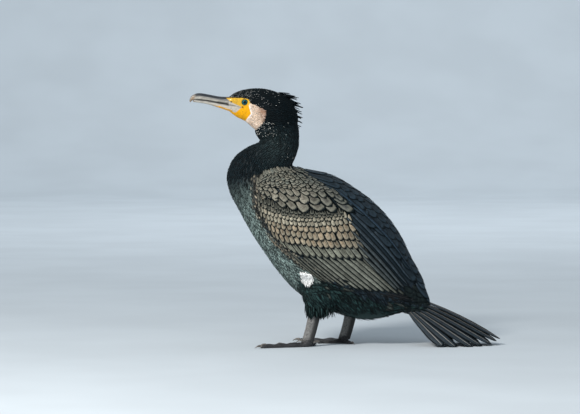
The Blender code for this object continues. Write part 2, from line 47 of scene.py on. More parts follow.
# rows of belly x, z, back x, z and half width, from the vent to the top of the neck
TRUNK = (
    (141, 63, 140, 77, 8),
    (124, 60, 135, 92, 15),
    (94, 54, 127, 115, 23),
    (68, 46, 110.5, 145, 37),
    (36, 41, 95, 178, 51),
    (2, 48, 73, 210.5, 62),
    (-36, 63, 45, 239, 71),
    (-77.5, 87, 12, 263, 76),
    (-108.5, 120, -18, 280, 77),
    (-131.5, 152, -51, 289, 73),
    (-154.5, 187, -74, 294, 64),
    (-174, 222, -85, 297, 52),
    (-189.5, 252, -82, 304, 41),
    (-194.5, 280, -78, 312, 33),
    (-183.5, 308, -75, 322, 27.5),
    (-160.5, 326, -73.5, 331, 24.5),
    (-139, 336.5, -73.5, 340, 23),
    (-146, 347.5, -74, 355, 22),
    (-149, 362, -79, 376, 19),
)
# rows of chin x, z, crown x, z and half width, from the bill to the nape
HEAD = (
    (-190, 386, -190, 410, 8),
    (-177, 376, -178, 417.5, 13.5),
    (-162, 368.5, -163.5, 422, 18),
    (-148.5, 357, -145, 424, 21.5),
    (-135, 349, -127, 422.5, 23.5),
    (-119, 346, -109, 417, 24),
    (-101, 347, -93, 408.5, 22),
    (-86, 354, -82.5, 394.5, 17),
    (-77, 365, -76, 378, 8),
)
BILL_UPPER = (
    (-184, 395.5, -184, 411.4, 9.6),
    (-190.3, 397.4, -190.3, 409.7, 7.8),
    (-208, 400.4, -206.5, 410.5, 5.9),
    (-224.5, 403.3, -223, 413.6, 4.8),
    (-237.5, 404.8, -237, 415.7, 4.3),
    (-246, 404.6, -246, 414.3, 3.7),
    (-250.5, 403.2, -252.5, 409.8, 2.6),
    (-253.5, 400.6, -255, 403.2, 0.9),
)
BILL_LOWER = (
    (-184, 383.5, -184, 396.2, 9.4),
    (-190.3, 386.3, -190.3, 396.9, 7.6),
    (-209.5, 392.8, -208.5, 399.8, 5.3),
    (-227.5, 398, -227, 403.1, 4),
    (-242.5, 400.4, -242.5, 404.25, 3),
    (-248.6, 401.5, -248.6, 403.3, 1.4),
)
THIGH = (
    (-60, 140, -25, 140, 10),
    (-72, 118, -14, 118, 20),
    (-74, 98, -12, 98, 24),
    (-71, 81, -14, 79, 23),
    (-66, 67, -17, 64, 17.5),
    (-64, 58, -31, 54, 11.5),
    (-60, 50.5, -40, 50.5, 7),
)
TARSUS = (
    (-58.5, 56, -39.5, 54, 6),
    (-60.5, 45.2, -40.5, 45.2, 5.8),
    (-63, 33, -43.5, 33, 5.2),
    (-66.5, 20, -47, 20, 5),
    (-69.5, 11, -49.5, 12, 5.2),
    (-71, 6, -51, 6, 4.6),
)
TAIL_COVERTS = (
    (95, 55.5, 110, 81, 14.5),
    (116, 46, 129, 74, 15),
    (137, 36, 148, 59, 12),
    (156, 29, 166, 45, 7),
)
ROUNDNESS = 2.25
LEG_SPREAD = 39
FAR_LEG_BACK = 62
SKIN_DEPTH = 1.8
NECK_DEPTH = 0.9
HEAD_DEPTH = 0.6
TAIL_DEPTH = 1.5
THIGH_DEPTH = 3.0
BODY_VOXEL = 2.5
FOOT_VOXEL = 0.75

# the face, where the skin is finer, lies in front of and above these
FACE_BACK = -118
FACE_LOW = 346
FACE_CUTS = 4

# rows of the neck base along the trunk, where the neck's skin starts and the trunk's ends
NECK_SKIN_FROM = 14.4
TRUNK_SKIN_TO = 15

EYE = (-163.4, 13.8, 401.0)
EYE_RADIUS = 6.2
IRIS_RADIUS = 4.1
PUPIL_RADIUS = 2.3
LID_RADIUS = 4.9
LID_HALF = 0.8
LID_OUT = 3.7
LID_BEADS = 22

# angle inwards in degrees, length, claw length and root radius of each toe
ANKLE = (-60.0, 9.0)
TOES = ((-21, 82, 11, 5.0), (-2, 70, 11, 4.8), (22, 48, 10, 4.5), (112, 32, 9, 4.0))
WEB_THICKNESS = 1.3

# x and z of each tail feather's tip and its distance from the middle plane
TAIL_TIPS = (
    (258, 9.5, 5),
    (252, 7, 15),
    (243, 3.5, 25),
    (227, 1.5, 35),
    (211, 0.8, 44),
    (184, 0.8, 51),
    (162, 4, 54),
)

# side outlines are given on a grid of 1.65 mm, its corner above the bird's front
STEP = 1.65
GRID_X = 344
GRID_Z = 345


def place(points):
    """Side outline points in millimetres of x and z."""
    p = np.array(points, float)
    return np.stack([(p[:, 0] - GRID_X) * STEP, (GRID_Z - p[:, 1]) * STEP], 1)


# colours
BLACK_GREEN = (0.001, 0.005, 0.007)
NECK_BLACK = (0.003, 0.009, 0.012)
NECK_GREEN = (0.018, 0.030, 0.031)
# the breast's dark grey-green raised by painted sheen: the gloss of its black feathers in the light made part
# of the colour
BREAST_GREY_SHEEN = (0.207, 0.273, 0.253)
BELLY_BLACK = (0.010, 0.017, 0.017)
THIGH_GREEN = (0.015, 0.036, 0.035)
BACK_BLUE = (0.016, 0.027, 0.036)
RIM_TEAL = (0.002, 0.006, 0.008)
# painted sheen: the blue of sky light along the back feathers' edges
EDGE_SHEEN_BLUE = (0.026, 0.046, 0.064)
FRINGE_OLIVE = (0.300, 0.300, 0.235)
FRONT_BROWN = (0.090, 0.085, 0.068)
FRONT_SHADE = (0.036, 0.037, 0.033)
SCAPULAR_GREY = (0.102, 0.116, 0.103)
SCAPULAR_BROWN = (0.152, 0.138, 0.110)
COVERT_BROWN = (0.298, 0.225, 0.150)
COVERT_OLIVE = (0.155, 0.160, 0.127)
LESSER_BROWN = (0.320, 0.280, 0.210)
# lesser coverts under the scapulars: brown darkened as painted shade, and near black as the painted shadow in
# the slit under the scapulars
LESSER_PAINTED_SHADE = (0.094, 0.084, 0.066)
SLIT_PAINTED_SHADOW = (0.010, 0.012, 0.012)
SECONDARY_GREY = (0.125, 0.130, 0.107)
PRIMARY_BLACK = (0.018, 0.018, 0.019)
TAIL_BLACK = (0.025, 0.037, 0.047)
TERTIAL_BLUE = (0.019, 0.034, 0.050)
TERTIAL_GREY = (0.051, 0.061, 0.060)
MARGIN_BROWN = (0.160, 0.125, 0.090)
CHEEK_CREAM = (0.818, 0.614, 0.454)
CHEEK_BROWN = (0.330, 0.150, 0.075)
RIM_WHITE = (0.930, 0.920, 0.890)
LORE_YELLOW = (0.704, 0.408, 0.022)
THROAT_ORANGE = (0.837, 0.384, 0.001)
BILL_PALE = (0.470, 0.440, 0.380)
CULMEN_BLUE = (0.008, 0.013, 0.020)
PATCH_WHITE = (0.958, 0.953, 0.927)
MOUTH_DARK = (0.03, 0.028, 0.026)
LORE_BROWN = (0.26, 0.15, 0.03)
QUILL_PALE = (0.40, 0.38, 0.34)
FRECKLE_BROWN = (0.11, 0.055, 0.02)
BILL_GREY = (0.16, 0.16, 0.155)
BILL_EDGE = (0.05, 0.05, 0.05)
HOOK_BROWN = (0.30, 0.20, 0.12)
LOWER_GREY = (0.20, 0.195, 0.18)
LOWER_EDGE = (0.05, 0.05, 0.048)
LOWER_HOOK = (0.30, 0.21, 0.13)
HORN_SPECK = (0.09, 0.085, 0.08)
IRIS_DEEP = (0.001, 0.060, 0.072)
IRIS_LIGHT = (0.001, 0.125, 0.135)
IRIS_EDGE = (0.004, 0.006, 0.008)
PUPIL_BLACK = (0.001, 0.001, 0.001)
LID_DARK = (0.004, 0.016, 0.02)
SHANK_DARK = (0.025, 0.026, 0.026)
SHANK_PALE = (0.265, 0.26, 0.25)
LEG_CREASE = (0.03, 0.028, 0.026)
FOOT_CREASE = (0.006, 0.006, 0.007)
FOOT_BLACK = (0.030, 0.030, 0.033)
FOOT_DUST = (0.10, 0.095, 0.09)
CLAW_DARK = (0.05, 0.045, 0.04)
CLAW_PALE = (0.20, 0.185, 0.165)
PAPER_BLUE = (0.60, 0.66, 0.70)

# outlines of the bare face, the cheek and the thigh patch
LORES = ((226.3, 97.7), (235, 97.6), (244, 97.8), (248.5, 99), (250.3, 102), (249.3, 105.5),
         (248.5, 108), (241.5, 106.6), (236.5, 104.2), (231, 101.8))
THROAT = ((236, 112.3), (240.8, 108.0), (243.0, 105.2), (248.8, 104.6), (251.2, 113.3),
          (245.4, 120.6), (240.6, 120.6), (234.2, 118.4), (225.8, 113.4), (219, 109.4), (219, 105.4),
          (228, 109.0), (234, 112.0))
GAPE = ((222, 99), (231, 101.8), (241.6, 106.4), (240.8, 108.5), (236, 113.5), (232, 115), (222, 110.5))
CHEEK = ((248.8, 102.6), (253, 103.8), (259.2, 106.8), (265.3, 110), (264.8, 114.1), (263.3, 120.2),
         (260.2, 124.3), (255.6, 128.9), (252, 130), (247, 126), (243, 121.5), (245, 119), (251.2, 113.3),
         (248, 105.4))
PATCH = ((299.8, 269.5), (305, 269.5), (310.3, 271), (311.5, 275), (310.8, 279), (306, 280.5), (301, 278.5))
WING_OUTLINE = ((253, 173), (252, 188), (252.5, 205), (257, 215), (262, 224), (268, 233), (277, 243),
                (286, 252), (297, 262), (310, 271), (325, 278), (345, 287), (357, 291), (380, 298),
                (400, 303), (440, 306), (440, 150), (300, 150), (291, 167), (272, 169))


# shapes of the body
def rows_at(table, u):
    """The table's rows at fractional row positions, on a smooth run through all of them."""
    rows = np.array(table, float)
    last = len(rows) - 1
    u = np.clip(np.asarray(u, float), 0, last)
    i = np.minimum(u.astype(int), last - 1)
    t = (u - i)[:, None]
    a = rows[np.maximum(i - 1, 0)]
    b = rows[i]
    c = rows[i + 1]
    d = rows[np.minimum(i + 2, last)]
    return b + 0.5 * t * (c - a + t * (2 * a - 5 * b + 4 * c - d + t * (3 * (b - c) + d - a)))


def along_path(path, count):
    """Evenly numbered points on a smooth path."""
    return rows_at(path, np.linspace(0, len(path) - 1, count))


def section_points(table, u, angle, inset=0.0, centre=(0.0, 0.0)):
    """Points in metres on a form: angle 0 is its back, 90 degrees its left side, 180 its belly."""
    r = rows_at(table, u)
    power = 2 / ROUNDNESS
    c = np.cos(angle)
    s = np.sin(angle)
    high = np.sign(c) * np.abs(c) ** power
    wide = np.sign(s) * np.abs(s) ** power
    up = np.stack([(r[:, 2] - r[:, 0]) / 2, (r[:, 3] - r[:, 1]) / 2], 1)
    half = np.linalg.norm(up, axis=1)
    shrink = np.maximum(half - inset, 0.3) / half
    x = (r[:, 0] + r[:, 2]) / 2 + up[:, 0] * high * shrink + centre[0]
    z = (r[:, 1] + r[:, 3]) / 2 + up[:, 1] * high * shrink
    y = -np.maximum(r[:, 4] - inset, 0.3) * wide + centre[1]
    return np.stack([x, y, z], 1) * MM


def unit(v):
    return v / np.maximum(np.linalg.norm(v, axis=-1, keepdims=True), 1e-12)


def smooth_step(low, high, x):
    t = np.clip((x - low) / (high - low), 0, 1)
    return t * t * (3 - 2 * t)


def mix(a, b, share):
    share = np.asarray(share)[..., None]
    return np.asarray(a) * (1 - share) + np.asarray(b) * share


def within(points, outline, soft=1.2):
    """1 inside a side outline and 0 outside it, with an edge soft by that many millimetres."""
    p = np.asarray(points)
    q = place(outline)
    inside = np.zeros(len(p), bool)
    near = np.full(len(p), 1e9)
    for a, b in zip(q, np.roll(q, -1, 0)):
        ab = b - a
        t = np.clip(((p - a) @ ab) / (ab @ ab), 0, 1)
        near = np.minimum(near, np.linalg.norm(p - a - t[:, None] * ab, axis=1))
        crosses = (a[1] > p[:, 1]) != (b[1] > p[:, 1])
        x = a[0] + (p[:, 1] - a[1]) * ab[0] / (ab[1] if abs(ab[1]) > 1e-9 else 1e-9)
        inside ^= crosses & (p[:, 0] < x)
    return smooth_step(-soft, soft, np.where(inside, near, -near))


# making meshes
def added(name, data):
    """A new object in the scene, holding a mesh, a light or a camera."""
    obj = bpy.data.objects.new(name, data)
    bpy.context.scene.collection.objects.link(obj)
    return obj


def new_object(name, points, faces):
    mesh = bpy.data.meshes.new(name)
    mesh.from_pydata([tuple(p) for p in points], [], [tuple(int(i) for i in f) for f in faces])
    mesh.update()
    return added(name, mesh)


def select_only(*objects):
    bpy.ops.object.select_all(action="DESELECT")
    for obj in objects:
        obj.select_set(True)
    bpy.context.view_layer.objects.active = objects[0]


def open_with(obj, kind, chosen):
    """Opens the active mesh for editing, with only the chosen edges or faces selected."""
    bpy.ops.object.mode_set(mode="EDIT")
    bpy.ops.mesh.select_mode(type=kind)
    bpy.ops.mesh.select_all(action="DESELECT")
    bm = bmesh.from_edit_mesh(obj.data)
    for part in bm.edges if kind == "EDGE" else bm.faces:
        part.select = chosen(part)
    bmesh.update_edit_mesh(obj.data)


def drawn_tube(name, point_at, rings, around):
    """A capped tube: a cylinder cut into rings, its wall drawn out to point_at(share, angle)."""
    bpy.ops.object.select_all(action="DESELECT")
    bpy.ops.mesh.primitive_cylinder_add(vertices=around, radius=1, depth=1, end_fill_type="NGON")
    obj = bpy.context.object
    obj.name = name
    open_with(obj, "EDGE", lambda edge: abs(edge.verts[0].co.z - edge.verts[1].co.z) > 0.5)
    bpy.ops.mesh.subdivide(number_cuts=rings - 2)
    bpy.ops.object.mode_set(mode="OBJECT")
    co = points_of(obj)
    share = np.clip(co[:, 2] + 0.5, 0, 1)
    angle = np.arctan2(co[:, 1], co[:, 0])
    move_points(obj, point_at(share, angle))
    return face_outwards(obj)


def points_of(obj):
    co = np.zeros(len(obj.data.vertices) * 3)
    obj.data.vertices.foreach_get("co", co)
    return co.reshape(-1, 3)


def move_points(obj, points):
    obj.data.vertices.foreach_set("co", np.asarray(points, np.float32).ravel())
    obj.data.update()


def face_outwards(obj):
    select_only(obj)
    bpy.ops.object.mode_set(mode="EDIT")
    bpy.ops.mesh.select_all(action="SELECT")
    bpy.ops.mesh.normals_make_consistent(inside=False)
    bpy.ops.object.mode_set(mode="OBJECT")
    return obj


def joined(name, objects):
    select_only(*objects)
    bpy.ops.object.join()
    obj = bpy.context.object
    obj.name = name
    return obj


def remeshed(obj, voxel, smoothing):
    """One closed surface round everything in the object, with its steps smoothed."""
    select_only(obj)
    bpy.ops.object.modifier_add(type="REMESH")
    modifier = obj.modifiers[-1]
    modifier.mode = "VOXEL"
    modifier.voxel_size = voxel * MM
    bpy.ops.object.modifier_apply(modifier=modifier.name)
    bpy.ops.object.modifier_add(type="SMOOTH")
    modifier = obj.modifiers[-1]
    modifier.factor = 0.5
    modifier.iterations = smoothing
    bpy.ops.object.modifier_apply(modifier=modifier.name)
    return obj


def shade_smooth(obj):
    select_only(obj)
    bpy.ops.object.shade_smooth()
    return obj


def add_colour(obj, colours):
    """Stores one colour a vertex as the attribute tint."""
    layer = obj.data.color_attributes.new("tint", "FLOAT_COLOR", "POINT")
    rgba = np.ones((len(obj.data.vertices), 4), np.float32)
    rgba[:, :3] = colours
    layer.data.foreach_set("color", rgba.ravel())


def add_value(obj, name, values):
    layer = obj.data.attributes.new(name, "FLOAT", "POINT")
    layer.data.foreach_set("value", np.asarray(values, np.float32))


NEIGHBOURS = [(i, j, k) for i in (-1, 0, 1) for j in (-1, 0, 1) for k in (-1, 0, 1)]


class Surface:
    """A closed mesh that points can be laid on."""

    def __init__(self, obj):
        mesh = obj.data
        mesh.calc_loop_triangles()
        self.co = points_of(obj)
        self.tris = np.zeros(len(mesh.loop_triangles) * 3, np.int32)
        mesh.loop_triangles.foreach_get("vertices", self.tris)
        self.tris = self.tris.reshape(-1, 3)
        a, b, c = (self.co[self.tris[:, k]] for k in range(3))
        flat = np.cross(b - a, c - a)
        self.areas = np.linalg.norm(flat, axis=1) / 2
        normals = np.zeros_like(self.co)
        for k in range(3):
            np.add.at(normals, self.tris[:, k], flat)
        self.normals = unit(normals)
        self.tree = BVHTree.FromPolygons(self.co.tolist(), self.tris.tolist())

    def nearest(self, points):
        """The nearest point on the surface to each point, and the smooth normal there."""
        found = np.zeros((len(points), 3))
        face = np.zeros(len(points), int)
        for k, p in enumerate(points.tolist()):
            hit, _, index, _ = self.tree.find_nearest(p)
            found[k] = hit
            face[k] = index
        corners = self.tris[face]
        a, b, c = (self.co[corners[:, k]] for k in range(3))
        ab, ac, ap = b - a, c - a, found - a
        aa = (ab * ab).sum(1)
        bb = (ab * ac).sum(1)
        cc = (ac * ac).sum(1)
        ad = (ab * ap).sum(1)
        bd = (ac * ap).sum(1)
        scale = np.maximum(aa * cc - bb * bb, 1e-24)
        v = np.clip((cc * ad - bb * bd) / scale, 0, 1)[:, None]
        w = np.clip((aa * bd - bb * ad) / scale, 0, 1)[:, None]
        n = self.normals[corners[:, 0]] * (1 - v - w)
        n += self.normals[corners[:, 1]] * v + self.normals[corners[:, 2]] * w
        return found, unit(n)

    def side_hit(self, xz):
        """Where lines from the left meet the surface, or the nearest point to a line that misses."""
        start = np.zeros((len(xz), 3))
        for k, (x, z) in enumerate(np.asarray(xz) * MM):
            hit, _, _, _ = self.tree.ray_cast((x, -0.3, z), (0, 1, 0))
            start[k] = hit if hit is not None else (x, -0.01, z)
        return self.nearest(start)

    def scatter(self, spacing, keep, tries=5):
        """Points over the surface, no two nearer than the spacing."""
        chosen = keep(self.co[self.tris].mean(1))
        weight = np.where(chosen, self.areas, 0)
        total = weight.sum()
        if total <= 0:
            return np.zeros((0, 3)), np.zeros((0, 3))
        count = int(total / (spacing * MM) ** 2 * tries)
        pick = np.searchsorted(np.cumsum(weight) / total, chance.random(count))
        pick = np.minimum(pick, len(weight) - 1)
        a = chance.random(count)
        b = chance.random(count)
        flip = a + b > 1
        a = np.where(flip, 1 - a, a)[:, None]
        b = np.where(flip, 1 - b, b)[:, None]
        tri = self.tris[pick]
        points = self.co[tri[:, 0]] * (1 - a - b) + self.co[tri[:, 1]] * a + self.co[tri[:, 2]] * b
        normals = self.normals[tri[:, 0]] * (1 - a - b)
        normals += self.normals[tri[:, 1]] * a + self.normals[tri[:, 2]] * b
        cells = {}
        kept = []
        cell_of = np.floor(points / (spacing * MM)).astype(int).tolist()
        listed = points.tolist()
        limit = (spacing * MM) ** 2
        for k, (i, j, m) in enumerate(cell_of):
            x, y, z = listed[k]
            near = (spot for di, dj, dm in NEIGHBOURS for spot in cells.get((i + di, j + dj, m + dm), ()))
            if all((x - ox) ** 2 + (y - oy) ** 2 + (z - oz) ** 2 >= limit for ox, oy, oz in near):
                cells.setdefault((i, j, m), []).append((x, y, z))
                kept.append(k)
        kept = np.array(kept, int)
        return points[kept], unit(normals[kept])


# where a point lies on the body
BATCH = 20000
HEAD_FROM = 345
HEAD_TO = 372
SPINE_STEPS = np.linspace(0, len(TRUNK) - 1, 240)
TRUNK_ROWS = rows_at(TRUNK, SPINE_STEPS)
TRUNK_LINE = (TRUNK_ROWS[:, (0, 1)] + TRUNK_ROWS[:, (2, 3)]) / 2
TRUNK_WAY = unit(-np.gradient(TRUNK_LINE, axis=0))
HEAD_STEPS = np.linspace(0, len(HEAD) - 1, 80)
HEAD_ROWS = rows_at(HEAD, HEAD_STEPS)
HEAD_LINE = (HEAD_ROWS[:, (0, 1)] + HEAD_ROWS[:, (2, 3)]) / 2
HEAD_WAY = unit(np.gradient(HEAD_LINE, axis=0))


def body_place(points):
    """How far each point lies along the trunk and the head, and how much it belongs to the head."""
    p = np.asarray(points) / MM
    xz = p[:, (0, 2)]
    trunk = np.zeros(len(p), int)
    head = np.zeros(len(p), int)
    for start in range(0, len(p), BATCH):
        part = slice(start, start + BATCH)
        trunk[part] = ((xz[part, None] - TRUNK_LINE) ** 2).sum(2).argmin(1)
        head[part] = ((xz[part, None] - HEAD_LINE) ** 2).sum(2).argmin(1)
    height = p[:, 2] + 0.6 * np.maximum(-130 - p[:, 0], 0)
    share = smooth_step(HEAD_FROM, HEAD_TO, height)
    share = np.where(p[:, 2] < 335, 0, share)
    return trunk, head, share


def feather_way(points):
    """Which way the feathers lie: from the face back to the nape, then down to the vent."""
    trunk, head, share = body_place(points)
    way = mix(TRUNK_WAY[trunk], HEAD_WAY[head], share)
    return unit(np.stack([way[:, 0], np.zeros(len(way)), way[:, 1]], 1))


def bake_place(points):
    """Each root's place on the unrolled skin."""
    trunk, head, share = body_place(points)
    p = np.asarray(points) / MM
    on_head = share > 0.5
    rows = np.where(on_head[:, None], HEAD_ROWS[head], TRUNK_ROWS[trunk])
    middle = (rows[:, (0, 1)] + rows[:, (2, 3)]) / 2
    up = (rows[:, (2, 3)] - rows[:, (0, 1)]) / 2
    high = ((p[:, (0, 2)] - middle) * up).sum(1) / (up * up).sum(1)
    angle = np.arctan2(-p[:, 1] / rows[:, 4], high)
    across = 0.02 + 0.96 * (angle / (2 * math.pi) + 0.5)
    on_head_along = 0.78 + 0.2 * head / (len(HEAD_STEPS) - 1)
    on_trunk_along = 0.02 + 0.74 * trunk / (len(SPINE_STEPS) - 1)
    along = np.where(on_head, on_head_along, on_trunk_along)
    return np.stack([across, along], 1)


def form_loft(name, table, inset, around=72, rings=90, first=0.0, last=None, centre=(0.0, 0.0)):
    """A tube on a table of sections, from one row to another, drawn in by the inset."""
    last = len(table) - 1 if last is None else last

    def point_at(share, angle):
        return section_points(table, first + share * (last - first), angle, inset, centre)

    return drawn_tube(name, point_at, rings, around)


# skin
def make_skin():
    """One skin over the head, neck, trunk, thighs and tail root, finer on the head."""
    forms = [
        form_loft("trunk_form", TRUNK, SKIN_DEPTH, 96, 160, 0, TRUNK_SKIN_TO),
        form_loft("neck_form", TRUNK, NECK_DEPTH, 72, 40, NECK_SKIN_FROM, len(TRUNK) - 1),
        form_loft("head_form", HEAD, HEAD_DEPTH, 72, 70),
        form_loft("tail_form", TAIL_COVERTS, TAIL_DEPTH, 40, 24),
        form_loft("thigh_near", THIGH, THIGH_DEPTH, 48, 50, centre=(0, -LEG_SPREAD)),
        form_loft("thigh_far", THIGH, THIGH_DEPTH, 48, 50, centre=(FAR_LEG_BACK, LEG_SPREAD)),
    ]
    skin = remeshed(joined("skin", forms), BODY_VOXEL, 4)

    def on_face(part):
        middle = part.calc_center_median() / MM
        return middle.x < FACE_BACK and middle.z > FACE_LOW

    select_only(skin)
    open_with(skin, "FACE", on_face)
    bpy.ops.mesh.subdivide(number_cuts=FACE_CUTS, smoothness=0)
    bpy.ops.object.mode_set(mode="OBJECT")
    settle_face(skin)
    return shade_smooth(skin)


def settle_face(skin):
    """Draws the finer face back onto the head's own form, away from the throat and nape."""
    co = points_of(skin)
    p = co / MM
    face = (p[:, 0] < -112) & (p[:, 2] > 340)
    dense = form_loft("head_measure", HEAD, HEAD_DEPTH, 160, 160)
    form = Surface(dense)
    found, _ = form.nearest(co[face])
    gap = np.linalg.norm(found - co[face], axis=1) / MM
    weight = 1 - smooth_step(0.8, 2.2, gap)
    share = smooth_step(-113, -121, p[face][:, 0])
    weight = weight * share
    co[face] += (found - co[face]) * weight[:, None]
    move_points(skin, co)
    bpy.data.objects.remove(dense)


# markings
def body_colour(points):
    """The plumage colour of the head, neck and body under the wings."""
    p = np.asarray(points) / MM
    xz = p[:, (0, 2)]
    trunk, _, share = body_place(points)
    u = SPINE_STEPS[trunk]
    # the breast's grey is partly its own colour and partly painted sheen
    colour = mix(BELLY_BLACK, BREAST_GREY_SHEEN, smooth_step(5.0, 7.6, u))
    colour = mix(colour, NECK_BLACK, smooth_step(9.6, 12.4, u))
    spread = ((p[:, 0] + 112) / 26) ** 2 + ((p[:, 2] - 330) / 28) ** 2
    colour = mix(colour, NECK_GREEN, np.exp(-spread) * 0.9)
    low = (p[:, 2] < 110) & (p[:, 0] > -85)
    colour = np.where(low[:, None], mix(colour, THIGH_GREEN, smooth_step(-85, -75, p[:, 0])), colour)
    colour = mix(colour, BLACK_GREEN, share * (1 - 0.5 * np.exp(-spread)))
    above = within(xz, WING_OUTLINE, 3.0) * (1 - share)
    shade = mix(FRONT_SHADE, BACK_BLUE, smooth_step(-140, -115, p[:, 0]))
    colour = mix(colour, shade, above)
    return colour


def face_marks(points):
    """The bare yellow, orange and pale skin, its white rim and the cheek, and how bare each point is."""
    p = np.asarray(points) / MM
    xz = p[:, (0, 2)]
    front = smooth_step(-112, -125, xz[:, 0]) * smooth_step(340, 345, xz[:, 1])
    cheek = within(xz, CHEEK, 1.6) * front
    brown = smooth_step(-143, -131, xz[:, 0] + 0.35 * (xz[:, 1] - 375))
    lores = within(xz, LORES, 0.7)
    throat = within(xz, THROAT, 0.8)
    gape = within(xz, GAPE, 0.7)
    rim = np.clip(within(xz, THROAT, 3.0) * 2.4, 0, 1) * smooth_step(-163, -158, xz[:, 0]) * (1 - throat)
    colour = mix(CHEEK_CREAM, CHEEK_BROWN, brown * 0.85)
    return colour, cheek, lores, throat, gape, rim


# the line between the bill's halves carried on into the face, its half width and its front end
MOUTH = place(((226, 104.3), (232, 105.0), (236, 105.7), (241.5, 107.0)))
MOUTH_WIDTH = 0.9
MOUTH_FRONT = -196


def paint_skin(skin):
    co = points_of(skin)
    colour = body_colour(co)
    cheek_colour, cheek, lores, throat, gape, rim = face_marks(co)
    colour = mix(colour, cheek_colour, cheek)
    colour = mix(colour, RIM_WHITE, rim)
    colour = mix(colour, BILL_PALE, gape)
    colour = mix(colour, LORE_YELLOW, lores)
    colour = mix(colour, THROAT_ORANGE, throat)
    p = co / MM
    fleck = (chance.random(len(co)) < 0.34) * smooth_step(-158, -186, p[:, 0])
    colour = mix(colour, LORE_BROWN, lores * fleck)
    mouth = np.interp(p[:, 0], MOUTH[:, 0], MOUTH[:, 1])
    line = np.exp(-(((p[:, 2] - mouth) / MOUTH_WIDTH) ** 2))
    line = line * (p[:, 0] < MOUTH[-1, 0]) * (p[:, 0] > MOUTH_FRONT)
    colour = mix(colour, MOUTH_DARK, line * (0.4 + 0.55 * smooth_step(-176, -188, p[:, 0])))
    eye = np.hypot(p[:, 0] - EYE[0], p[:, 2] - EYE[2])
    ring = (1 - smooth_step(5.6, 6.4, eye)) * smooth_step(-190, -185, p[:, 0])
    colour = mix(colour, LORE_YELLOW, ring)
    colour = mix(colour, PATCH_WHITE, within(p[:, (0, 2)], PATCH, 1.5) * (np.abs(p[:, 1]) > 15))
    add_colour(skin, colour)
    bare = np.maximum.reduce([lores, throat, gape, ring])
    add_value(skin, "bare", bare)


# materials
def new_material(name, roughness, specular, coat=0.0):
    material = bpy.data.materials.new(name)
    material.use_nodes = True
    tree = material.node_tree
    tree.nodes.clear()
    shader = tree.nodes.new("ShaderNodeBsdfPrincipled")
    out = tree.nodes.new("ShaderNodeOutputMaterial")
    tree.links.new(shader.outputs[0], out.inputs[0])
    shader.inputs["Roughness"].default_value = roughness
    shader.inputs["Metallic"].default_value = 0.0
    shader.inputs["Specular IOR Level"].default_value = specular
    shader.inputs["Coat Weight"].default_value = coat
    return material, tree, shader


def feed(tree, socket, value):
    """Links a socket to an output, or gives it a number or a colour of its own."""
    if hasattr(value, "is_output"):
        tree.links.new(value, socket)
    elif socket.type == "RGBA":
        socket.default_value = value + (1.0,)
    else:
        socket.default_value = value


def maths(tree, operation, *values):
    node = tree.nodes.new("ShaderNodeMath")
    node.operation = operation
    for socket, value in zip(node.inputs, values):
        feed(tree, socket, value)
    return node.outputs[0]


def ramp(tree, value, low, high, start=0.0, end=1.0):
    node = tree.nodes.new("ShaderNodeMapRange")
    node.interpolation_type = "SMOOTHSTEP"
    tree.links.new(value, node.inputs[0])
    for socket, number in zip(node.inputs[1:5], (low, high, start, end)):
        socket.default_value = number
    return node.outputs[0]


def blended(tree, share, first, second, mode="MIX"):
    node = tree.nodes.new("ShaderNodeMix")
    node.data_type = "RGBA"
    node.blend_type = mode
    sockets = (node.inputs["Factor"], node.inputs[6], node.inputs[7])
    for socket, value in zip(sockets, (share, first, second)):
        feed(tree, socket, value)
    return node.outputs[2]


def brightened(tree, colour, amount):
    """The colour times an amount."""
    node = tree.nodes.new("ShaderNodeVectorMath")
    node.operation = "SCALE"
    feed(tree, node.inputs[0], colour)
    feed(tree, node.inputs[3], amount)
    return node.outputs[0]


def noise(tree, scale, detail, stretch=None):
    """Noise on object coordinates; scale is in features a metre."""
    coords = tree.nodes.new("ShaderNodeTexCoord").outputs["Object"]
    if stretch:
        mapping = tree.nodes.new("ShaderNodeMapping")
        mapping.inputs["Scale"].default_value = stretch
        tree.links.new(coords, mapping.inputs[0])
        coords = mapping.outputs[0]
    node = tree.nodes.new("ShaderNodeTexNoise")
    node.inputs["Scale"].default_value = scale
    node.inputs["Detail"].default_value = detail
    node.inputs["Roughness"].default_value = 0.55
    tree.links.new(coords, node.inputs["Vector"])
    return node.outputs["Fac"]


def pebbles(tree, scale, feature="F1"):
    coords = tree.nodes.new("ShaderNodeTexCoord").outputs["Object"]
    node = tree.nodes.new("ShaderNodeTexVoronoi")
    node.feature = feature
    node.inputs["Scale"].default_value = scale
    tree.links.new(coords, node.inputs["Vector"])
    return node.outputs["Distance"]


def attribute(tree, name, output="Color"):
    node = tree.nodes.new("ShaderNodeAttribute")
    node.attribute_name = name
    return node.outputs[output]


def raised(tree, shader, height, strength, distance):
    bump = tree.nodes.new("ShaderNodeBump")
    bump.inputs["Strength"].default_value = strength
    bump.inputs["Distance"].default_value = distance * MM
    tree.links.new(height, bump.inputs["Height"])
    tree.links.new(bump.outputs[0], shader.inputs["Normal"])


